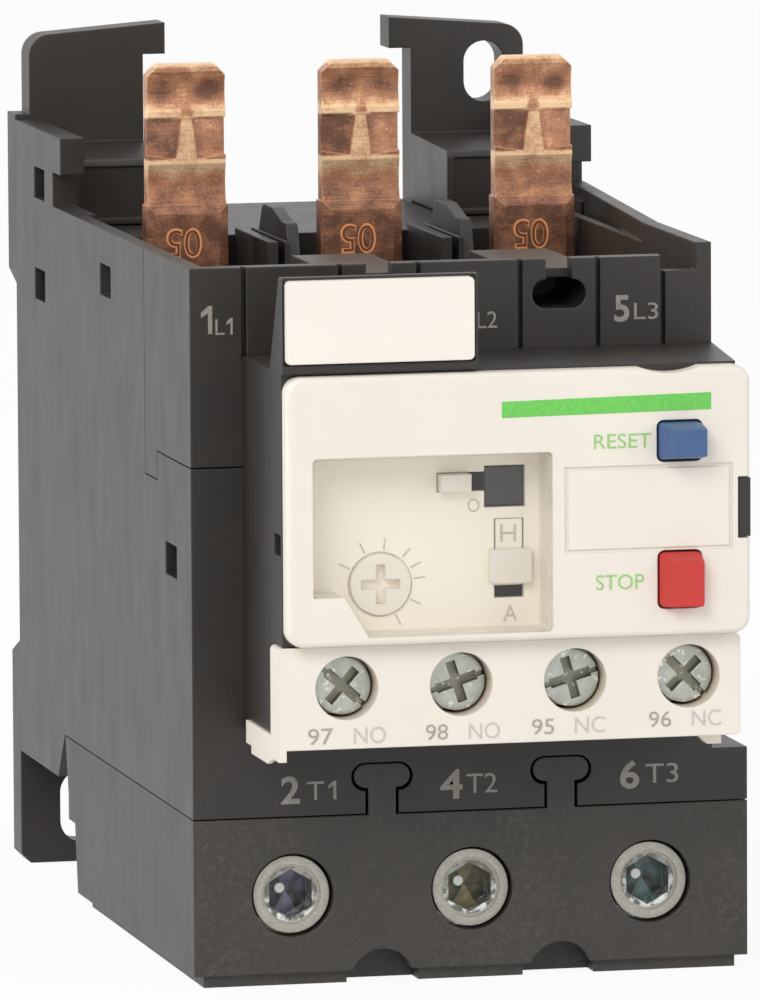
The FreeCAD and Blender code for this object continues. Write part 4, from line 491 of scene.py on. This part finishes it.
def socket_hollow(finish, x, across, upward):
    """The floor and flats of a socket: facets in painted uneven shade, one hue per pole, a painted
    highlight spot.
    """
    hue = finish.mix(finish.above(x, -HUE_CHANGE, 0.5), SOCKET_VIOLET, SOCKET_OLIVE)
    hue = finish.mix(finish.above(x, HUE_CHANGE, 0.5), hue, SOCKET_TEAL)
    # Painted shade: each facet of the socket gets its own tone.
    turn = finish.math("ARCTAN2", upward, across)
    sector = finish.math("FLOOR", finish.times(turn, SOCKET_SIDES / (2 * math.pi)))
    wave = finish.math("SINE", finish.times(sector, FACET_PHASE))
    facet_shade = finish.spread(wave, 0.05, 0.75, -1.0, 1.0)
    facet_shade = finish.plus(facet_shade, finish.patches(0.8, 1.0, -0.25, 0.25), clamp=True)
    # Painted highlight: one bright spot in the socket.
    centre = (POWER_SCREW[0] + SOCKET_HIGHLIGHT[0], POWER_SCREW[1] + SOCKET_HIGHLIGHT[1])
    spot = finish.below(finish.radius(centre, POLE_PITCH), SOCKET_HIGHLIGHT_RADIUS, 0.075)
    return finish.mix(spot, finish.mix(facet_shade, SOCKET_FACET_SHADE, hue), SOCKET_GLINT)


def cross_screw():
    """A zinc-plated terminal screw: pale matt face, painted shade in slot and rim, scuffed slot,
    edges painted brighter.
    """
    finish = Finish("cross_screw")
    normal, edge = finish.rounded_edges(SCREW_EDGE)
    _, y, _ = finish.axes()
    # Painted shade in the slot and round the rim of the head.
    deep = finish.above(y, CROSS_FACE + SLOT_DEPTH, 0.20)
    rim = finish.spread(finish.radius(AUX_SCREW, AUX_PITCH), 0.0, 1.0, RIM_START, RIM_END)
    face = finish.mix(finish.patches(0.9, 4.0), scaled(ZINC, 0.82), ZINC)
    body = finish.mix(deep, face, ZINC_SHADE)
    body = finish.mix(finish.times(rim, 0.45), body, ZINC_SHADE)
    body = finish.mix(finish.patches(1.6, 6.0, 0.0, 0.8, 0.61, 0.68), body, ZINC_SCUFF)
    # Edges painted brighter: a painted highlight.
    bright = finish.mix(finish.times(edge, 0.55), body, ZINC_EDGE_HIGHLIGHT)
    marks = finish.noise(4.0, 4.0)
    finish.shade(Base_Color=bright, Metallic=0.85, Normal=finish.bump(marks, 0.02, 0.3, normal),
                 Roughness=finish.spread(marks, 0.30, 0.48))
    return finish.material


def clear_sheet():
    """Clear moulded plastic: almost unseen, a slight haze, a painted reflection at glancing angles
    and pale painted edges.
    """
    finish = Finish("clear_plastic")
    normal, edge = finish.rounded_edges(CLEAR_EDGE)
    gloss = finish.add("Fresnel", {"IOR": 1.45, "Normal": normal}).outputs[0]
    haze = finish.patches(0.6, 3.0, 0.010, 0.035, 0.0, 1.0)
    # Painted reflection: the pale tint shows more at glancing angles and on the edges.
    cover = finish.plus(haze, finish.times(gloss, 0.35), finish.times(edge, 0.16), clamp=True)
    finish.shade(Base_Color=CLEAR_TINT, Alpha=cover, Normal=normal,
                 Roughness=finish.patches(1.1, 2.0, 0.04, 0.12, 0.0, 1.0))
    return finish.material


def ink(name, colour, rough=0.5):
    """Printed or filled lettering: a thin coat with slightly uneven cover."""
    finish = Finish(name)
    cover = finish.patches(2.5, 4.0, start=0.3, end=0.75)
    finish.shade(Base_Color=finish.mix(cover, scaled(colour, 0.86), scaled(colour, 1.08)),
                 Roughness=finish.patches(3.0, 2.0, rough - 0.08, rough + 0.08, 0.0, 1.0))
    return finish.material


def make_finishes():
    """Every finish by its short name."""
    return {
        "dark": plastic("dark_plastic", CHARCOAL, speckle=0.10),
        "block": plastic("block_plastic", BLOCK_GREY, rough=0.48, grain=0.5, dusty=3.0,
                         speckle=0.35),
        "window": plastic("window_plastic", WINDOW_BLACK, rough=0.3, grain=0.1),
        "cream": cream_plastic("cream_plastic", CREAM, recess=True),
        "strip": cream_plastic("strip_plastic", CREAM, wells=True),
        "marker": cream_plastic("marker_plastic", MARKER_WHITE, rough=0.45),
        "clear": clear_sheet(),
        "blue": plastic("blue_plastic", BUTTON_BLUE, rough=0.35, grain=0.2, wear_and_edge_light=1.5),
        "red": plastic("red_plastic", BUTTON_RED, rough=0.35, grain=0.2, wear_and_edge_light=1.2),
        "inner": plastic("inner_plastic", INNER_TAN, rough=0.5),
        "copper": copper("copper", plain_tone),
        "blade": copper("copper_blade", blade_painted_light),
        "brass": steel("contact_brass", BRASS, rough=0.35),
        "heater": steel("heater_alloy", HEATER_GREY, rough=0.4),
        "spring": steel("spring_steel", SPRING_GREY, rough=0.28),
        "zinc": steel("zinc_steel", ZINC, rough=0.40),
        "cross_screw": cross_screw(),
        "socket_screw": socket_screw(),
        "print_green": ink("print_green", PRINT_GREEN),
        "print_leaf": ink("print_leaf", PRINT_LEAF),
        "print_grey": ink("print_grey", PRINT_GREY),
        "print_pale": ink("print_pale", PRINT_PALE),
        "print_tan": ink("print_tan", PRINT_TAN),
        "stamp": ink("stamp_shadow", STAMP_SHADE),
        "stamp_highlight": ink("stamp_highlight", STAMP_HIGHLIGHT, rough=0.35),
    }


NODE_FINISH = {
    "main_housing": "dark",
    "front_upper_cap": "dark",
    "rear_mounting_plate": "dark",
    "terminal_block": "block",
    "control_module_body": "dark",
    "front_cover": "cream",
    "terminal_strip": "strip",
    "marker_plate": "marker",
    "setting_cover": "clear",
    "setting_dial": "cream",
    "reset_mode_selector": "cream",
    "trip_indicator": "cream",
    "test_button": "window",
    "reset_button": "blue",
    "stop_button": "red",
    "side_latch": "dark",
    "trip_slider_front": "inner",
    "trip_slider_rear": "inner",
    "trip_lever": "inner",
    "contact_carrier": "inner",
    "moving_contacts": "brass",
    "reset_spring": "spring",
    "stop_spring": "spring",
}

NUMBERED_FINISH = {
    "line_prong": "blade",
    "load_bar": "copper",
    "bimetal_strip": "spring",
    "heater_winding": "heater",
    "power_terminal_screw": "socket_screw",
    "clamp_cage": "zinc",
    "aux_terminal_screw": "cross_screw",
    "aux_clamp_plate": "zinc",
    "fixed_contact": "brass",
}

# How far a print stands out of its face and how deep it starts in it, in millimetres.
PRINT_DEPTH = 0.05
PRINT_SINK = 0.03

# A letter is first made this thick and with this many steps to a curve, then fitted to its box.
LETTER_THICK = 0.5
LETTER_STEPS = 5


def dress_nodes(nodes, finishes):
    """Every node of the model takes its finish."""
    for name, node in nodes.items():
        key = NODE_FINISH.get(name) or NUMBERED_FINISH[name.rstrip("0123456789").rstrip("_")]
        node.data.materials.clear()
        node.data.materials.append(finishes[key])


def adopt(piece, body, finish):
    """The piece takes its finish and rides on a body of the model."""
    piece.data.materials.clear()
    piece.data.materials.append(finish)
    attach(piece, body)
    return piece


def link(name, data):
    """A new object with that mesh, curve, lamp or camera, in the scene."""
    piece = bpy.data.objects.new(name, data)
    bpy.context.scene.collection.objects.link(piece)
    return piece


def word(name, text, box, face, depth=PRINT_DEPTH, thick=0.0):
    """A word as a thin raised piece that fills a box on a plane facing the viewer.

    The box is (left, right, low, high) in millimetres; thick makes the strokes heavier.
    """
    curve = bpy.data.curves.new(name, "FONT")
    curve.body = text
    curve.extrude = LETTER_THICK
    curve.offset = thick
    curve.resolution_u = LETTER_STEPS
    holder = link(name + "_outline", curve)
    bpy.context.view_layer.update()
    shape = holder.evaluated_get(bpy.context.evaluated_depsgraph_get())
    mesh = bpy.data.meshes.new_from_object(shape)
    bpy.data.objects.remove(holder)
    low = Vector([min(v.co[i] for v in mesh.vertices) for i in range(3)])
    high = Vector([max(v.co[i] for v in mesh.vertices) for i in range(3)])
    left, right, bottom, top = box
    for vertex in mesh.vertices:
        across = (vertex.co.x - low.x) / (high.x - low.x)
        upward = (vertex.co.y - low.y) / (high.y - low.y)
        outward = (vertex.co.z - low.z) / (high.z - low.z)
        vertex.co = MM * Vector((left + across * (right - left),
                                 face + PRINT_SINK - outward * (depth + PRINT_SINK),
                                 bottom + upward * (top - bottom)))
    mesh.name = name
    return link(name, mesh)


def plate(name, corners, face, depth=PRINT_DEPTH, sink=PRINT_SINK):
    """A thin plate with that outline, in millimetres, on a plane facing the viewer."""
    mesh = bpy.data.meshes.new(name)
    shape = bmesh.new()
    back = [shape.verts.new(MM * Vector((x, face + sink, z))) for x, z in corners]
    front = [shape.verts.new(MM * Vector((x, face - depth, z))) for x, z in corners]
    shape.faces.new(front)
    shape.faces.new(back[::-1])
    count = len(corners)
    for index in range(count):
        after = (index + 1) % count
        shape.faces.new((front[index], back[index], back[after], front[after]))
    bmesh.ops.recalc_face_normals(shape, faces=shape.faces)
    shape.to_mesh(mesh)
    shape.free()
    return link(name, mesh)


# Each print: its name, text, box (left, right, low, high), the face it is on, and its ink.
FRONT_WORDS = (
    ("mark_line_1", "1", (-26.4, -25.3, 63.4, 66.1), HOUSING_FACE, "print_tan"),
    ("mark_line_1_pole", "L", (-25.0, -24.1, 63.3, 64.8), HOUSING_FACE, "print_tan"),
    ("mark_line_1_count", "1", (-23.9, -23.3, 63.3, 64.9), HOUSING_FACE, "print_tan"),
    ("mark_line_2_pole", "L2", (0.74, 2.73, 63.2, 64.8), HOUSING_FACE, "print_tan"),
    ("mark_line_3", "5", (14.33, 15.85, 63.4, 66.0), HOUSING_FACE, "print_tan"),
    ("mark_line_3_pole", "L3", (16.3, 18.71, 63.6, 65.2), HOUSING_FACE, "print_tan"),
    ("mark_load_1", "2", (-18.86, -17.0, 17.7, 20.4), HOUSING_FACE, "print_tan"),
    ("mark_load_1_pole", "T", (-16.3, -14.6, 18.0, 19.8), HOUSING_FACE, "print_tan"),
    ("mark_load_1_count", "1", (-14.2, -13.4, 18.0, 19.8), HOUSING_FACE, "print_tan"),
    ("mark_load_2", "4", (-3.14, -0.9, 17.6, 20.5), HOUSING_FACE, "print_tan"),
    ("mark_load_2_pole", "T2", (-0.5, 2.53, 18.1, 20.0), HOUSING_FACE, "print_tan"),
    ("mark_load_3", "6", (14.78, 16.7, 17.9, 20.7), HOUSING_FACE, "print_tan"),
    ("mark_load_3_pole", "T3", (17.3, 20.59, 18.4, 20.3), HOUSING_FACE, "print_tan"),
    ("mark_aux_97", "97", (-19.98, -17.55, 25.8, 27.35), STRIP_FACE, "print_grey"),
    ("mark_aux_97_kind", "NO", (-15.51, -12.39, 25.75, 27.35), STRIP_FACE, "print_pale"),
    ("mark_aux_98", "98", (-8.5, -6.34, 25.85, 27.35), STRIP_FACE, "print_grey"),
    ("mark_aux_98_kind", "NO", (-4.3, -1.26, 25.8, 27.35), STRIP_FACE, "print_pale"),
    ("mark_aux_95", "95", (1.87, 4.03, 26.0, 27.5), STRIP_FACE, "print_grey"),
    ("mark_aux_95_kind", "NC", (6.08, 9.03, 26.0, 27.55), STRIP_FACE, "print_pale"),
    ("mark_aux_96", "96", (13.36, 15.53, 26.3, 27.8), STRIP_FACE, "print_grey"),
    ("mark_aux_96_kind", "NC", (17.59, 20.45, 26.25, 27.8), STRIP_FACE, "print_pale"),
    ("mark_reset", "RESET", (7.54, 13.12, 53.4, 54.8), COVER_FACE, "print_leaf"),
    ("mark_stop", "STOP", (7.69, 12.4, 39.9, 41.35), COVER_FACE, "print_leaf"),
    ("mark_test_open", "O", (-3.5, -2.34, 47.1, 48.4), RECESS_FACE, "print_pale"),
    ("mark_mode_auto", "A", (-0.05, 1.3, 36.5, 38.1), RECESS_FACE, "print_pale"),
)

# A figure 1 with a flag, as shares of its box, and how much heavier the other figures are drawn.
FIGURE_ONE = ((0.62, 0.0), (1.0, 0.0), (1.0, 1.0), (0.66, 1.0), (0.0, 0.76), (0.0, 0.58),
              (0.62, 0.74))
HEAVY_STROKE = 0.022

# The bar's corners, and the box of the letter on the selector.
HEADER_BAR = ((-1.42, 56.66), (19.01, 56.89), (19.01, 58.51), (-1.42, 58.18))
MODE_MARK_BOX = (-0.34, 1.24, 44.14, 45.82)

# The walls behind the notches at the foot; their arch starts and ends at NOTCH_START degrees.
NOTCH_HALF = 3.75
NOTCH_SILL = 1.25
NOTCH_RADIUS = 3.35
NOTCH_DEEP = 3.5
NOTCH_THICK = 1.0
NOTCH_START = 23.4
NOTCH_STEPS = 16

# The number stamped on a blade, and for each layer its finish, growth, lift and stroke; walls
# painted highlight, floor painted shade.
STAMP_SHIFT = -0.45
STAMP_HALF = 1.60
STAMP_LOW = 66.3
STAMP_HIGH = 68.9
STAMP_DEPTH = 0.03
STAMP_LAYERS = (
    ("walls", "stamp_highlight", 0.22, 0.0, 0.22 / 7 - 0.012),
    ("floor", "stamp", 0.0, 0.03, -0.012),
)

# The dial's ticks, by their angle, and the ring seen in the joint round it.
DIAL_CENTRE = (-12.09, 40.5)
DIAL_TICKS = (152.6, 116.2, 83.4, 48.5, 26.4, 7.2, -27.6, -63.0)
SEAM_INNER = 2.97
SEAM_OUTER = 3.15
SEAM_DEEP = 0.12
SEAM_THICK = 0.5
SEAM_STEPS = 72
TICK_START = 3.35
TICK_END = 4.45
TICK_WIDE = 0.16
TICK_DEPTH = 0.04


def figure_one(name, box, face):
    """The figure 1 with its flag, filling a box as a word does."""
    left, right, low, high = box
    corners = [(left + u * (right - left), low + v * (high - low)) for u, v in FIGURE_ONE]
    return plate(name, corners, face)


def print_words(finishes):
    """The prints of the front; single figures have heavier strokes."""
    for name, text, box, face, look in FRONT_WORDS:
        if text == "1":
            mark = figure_one(name, box, face)
        else:
            heavy = HEAVY_STROKE if len(text) == 1 and text.isdigit() else 0.0
            mark = word(name, text, box, face, thick=heavy)
        adopt(mark, "root", finishes[look])


def mode_mark(finishes):
    """The letter on the selector's thumb, which slides with it."""
    mark = word("mark_mode_hand", "H", MODE_MARK_BOX, RECESS_FACE)
    adopt(mark, "selector_body", finishes["print_pale"])


def stamp_numbers(finishes):
    """A plain number stamped upside down on each blade: walls in a painted highlight, floor in a
    painted shade.
    """
    for pole in (1, 2, 3):
        centre = (pole - 2) * POLE_PITCH + STAMP_SHIFT
        for layer, look, grow, lift, stroke in STAMP_LAYERS:
            box = (centre - STAMP_HALF - grow, centre + STAMP_HALF + grow,
                   STAMP_LOW - grow, STAMP_HIGH + grow)
            mark = word(f"stamp_{pole}_{layer}", "05", box, BLADE_FACE - lift, depth=STAMP_DEPTH,
                        thick=stroke)
            turn_over(mark, centre, (STAMP_LOW + STAMP_HIGH) / 2)
            adopt(mark, "root", finishes[look])


def turn_over(piece, x, z):
    """Turn a flat piece half round about a point of the plane that faces the viewer."""
    for vertex in piece.data.vertices:
        vertex.co.x = 2 * x * MM - vertex.co.x
        vertex.co.z = 2 * z * MM - vertex.co.z


def notch_backs(finishes):
    """The dark walls at the back of the two round notches between the feet."""
    for side, centre in (("left", -POLE_PITCH / 2), ("right", POLE_PITCH / 2)):
        corners = [(centre - NOTCH_HALF, 0.0), (centre + NOTCH_HALF, 0.0),
                   (centre + NOTCH_HALF, NOTCH_SILL)]
        for step in range(NOTCH_STEPS + 1):
            angle = math.radians(NOTCH_START + (180 - 2 * NOTCH_START) * step / NOTCH_STEPS)
            corners.append((centre + NOTCH_RADIUS * math.cos(angle),
                            NOTCH_RADIUS * math.sin(angle)))
        corners.append((centre - NOTCH_HALF, NOTCH_SILL))
        wall = plate(f"notch_back_{side}", corners, HOUSING_FACE + NOTCH_DEEP, depth=0.0,
                     sink=NOTCH_THICK)
        adopt(wall, "root", finishes["block"])


def dial_scale(finishes):
    """The ticks round the dial, as thin raised lines."""
    for index, degrees in enumerate(DIAL_TICKS):
        angle = math.radians(degrees)
        along = Vector((math.cos(angle), math.sin(angle)))
        side = Vector((-along.y, along.x)) * (TICK_WIDE / 2)
        centre = Vector(DIAL_CENTRE)
        near = centre + along * TICK_START
        far = centre + along * TICK_END
        corners = [tuple(near - side), tuple(far - side), tuple(far + side), tuple(near + side)]
        tick = plate(f"dial_tick_{index + 1}", corners, RECESS_FACE, depth=TICK_DEPTH)
        adopt(tick, "root", finishes["print_pale"])


def dial_seam(finishes):
    """The thin ring seen in the joint round the dial, just under the floor of the recess."""
    mesh = bpy.data.meshes.new("dial_seam")
    shape = bmesh.new()
    loops = []
    for radius in (SEAM_INNER, SEAM_OUTER):
        for depth in (0.0, SEAM_THICK):
            loop = []
            for step in range(SEAM_STEPS):
                angle = 2 * math.pi * step / SEAM_STEPS
                loop.append(shape.verts.new(MM * Vector((
                    DIAL_CENTRE[0] + radius * math.cos(angle), RECESS_FACE + SEAM_DEEP + depth,
                    DIAL_CENTRE[1] + radius * math.sin(angle)))))
            loops.append(loop)
    inner_front, inner_back, outer_front, outer_back = loops
    for one, two in ((inner_front, outer_front), (outer_front, outer_back),
                     (outer_back, inner_back), (inner_back, inner_front)):
        for step in range(SEAM_STEPS):
            after = (step + 1) % SEAM_STEPS
            shape.faces.new((one[step], one[after], two[after], two[step]))
    bmesh.ops.recalc_face_normals(shape, faces=shape.faces)
    shape.to_mesh(mesh)
    shape.free()
    adopt(link("dial_seam", mesh), "root", finishes["cream"])


def header_rule(finishes):
    """A plain green bar at the head of the cover."""
    rule = plate("header_rule", HEADER_BAR, COVER_FACE)
    adopt(rule, "root", finishes["print_green"])


# The studio: the floor's half width in metres, how far it glows where it is seen, and its lamps.
FLOOR_HALF = 6.0
FLOOR_GREY = (0.90, 0.90, 0.90)
FLOOR_GLOW = 0.93
WHITE = (1.0, 1.0, 1.0)
WORLD_LIGHT = 0.45
LAMP_AIM = (0, 0, 40)
LAMPS = (
    ("key_lamp", (-900, -1300, 1100), 0.9, 17.0),
    ("fill_lamp", (1100, -900, 500), 0.9, 5.0),
    ("left_lamp", (-1300, 300, 500), 0.8, 7.0),
)


def make_floor():
    """A plain pale floor that shows near white and keeps a soft shadow."""
    mesh = bpy.data.meshes.new("floor")
    half = FLOOR_HALF
    mesh.from_pydata([(-half, -half, 0), (half, -half, 0), (half, half, 0), (-half, half, 0)],
                     [], [(0, 1, 2, 3)])
    floor = link("floor", mesh)
    finish = Finish("floor_paper")
    finish.shade(Base_Color=FLOOR_GREY, Roughness=0.9, Specular_IOR_Level=0.1)
    share = finish.spread(finish.seen(), 0.0, FLOOR_GLOW)
    glow = finish.add("Emission", {"Color": WHITE, "Strength": 1.0}).outputs[0]
    blend = finish.add("MixShader", {0: share, 1: finish.shader.outputs[0], 2: glow})
    finish.set(finish.tree.nodes["Material Output"], "Surface", blend.outputs[0])
    mesh.materials.append(finish.material)


def make_world():
    """An even pale surround: white where it is seen or mirrored, softer as a light."""
    world = bpy.data.worlds.new("studio")
    bpy.context.scene.world = world
    world.use_nodes = True
    nodes = Nodes(world.node_tree)
    background = nodes.tree.nodes["Background"]
    nodes.set(background, "Color", WHITE)
    nodes.set(background, "Strength", nodes.spread(nodes.seen(), WORLD_LIGHT, 1.0))


def make_lamp(name, place, size, power):
    """A soft square lamp: its place in millimetres, its size in metres, its power in watts."""
    lamp = bpy.data.lights.new(name, "AREA")
    lamp.shape = "SQUARE"
    lamp.size = size
    lamp.energy = power
    holder = link(name, lamp)
    holder.location = Vector(place) * MM
    direction = Vector(LAMP_AIM) - Vector(place)
    holder.rotation_euler = direction.to_track_quat("-Z", "Y").to_euler()


def make_camera():
    """The camera as solved from the photograph."""
    away = Vector((-math.sin(CAMERA_YAW) * math.cos(CAMERA_PITCH),
                   -math.cos(CAMERA_YAW) * math.cos(CAMERA_PITCH), math.sin(CAMERA_PITCH)))
    forward = -away
    right = forward.cross(Vector((0, 0, 1))).normalized()
    up = right.cross(forward)
    turned_right = right * math.cos(CAMERA_ROLL) + up * math.sin(CAMERA_ROLL)
    turned_up = up * math.cos(CAMERA_ROLL) - right * math.sin(CAMERA_ROLL)
    lens = bpy.data.cameras.new("camera")
    lens.lens = CAMERA_LENS
    lens.sensor_width = CAMERA_SENSOR
    lens.sensor_fit = "AUTO"
    lens.clip_start, lens.clip_end = CAMERA_CLIP
    camera = link("camera", lens)
    turn = Matrix((turned_right, turned_up, away)).transposed().to_4x4()
    place = Vector(CAMERA_TARGET) * MM + away * CAMERA_DISTANCE * MM
    camera.matrix_world = Matrix.Translation(place) @ turn
    bpy.context.scene.camera = camera


def make_studio():
    """Floor, surround, lamps and camera."""
    make_floor()
    make_world()
    for name, place, size, power in LAMPS:
        make_lamp(name, place, size, power)
    make_camera()
    bpy.context.scene.view_settings.view_transform = "Standard"


def main():
    """The dressed part in its studio."""
    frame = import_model()
    finishes = make_finishes()
    dress_nodes(frame["nodes"], finishes)
    print_words(finishes)
    dial_scale(finishes)
    dial_seam(finishes)
    header_rule(finishes)
    mode_mark(finishes)
    stamp_numbers(finishes)
    notch_backs(finishes)
    make_studio()


main()
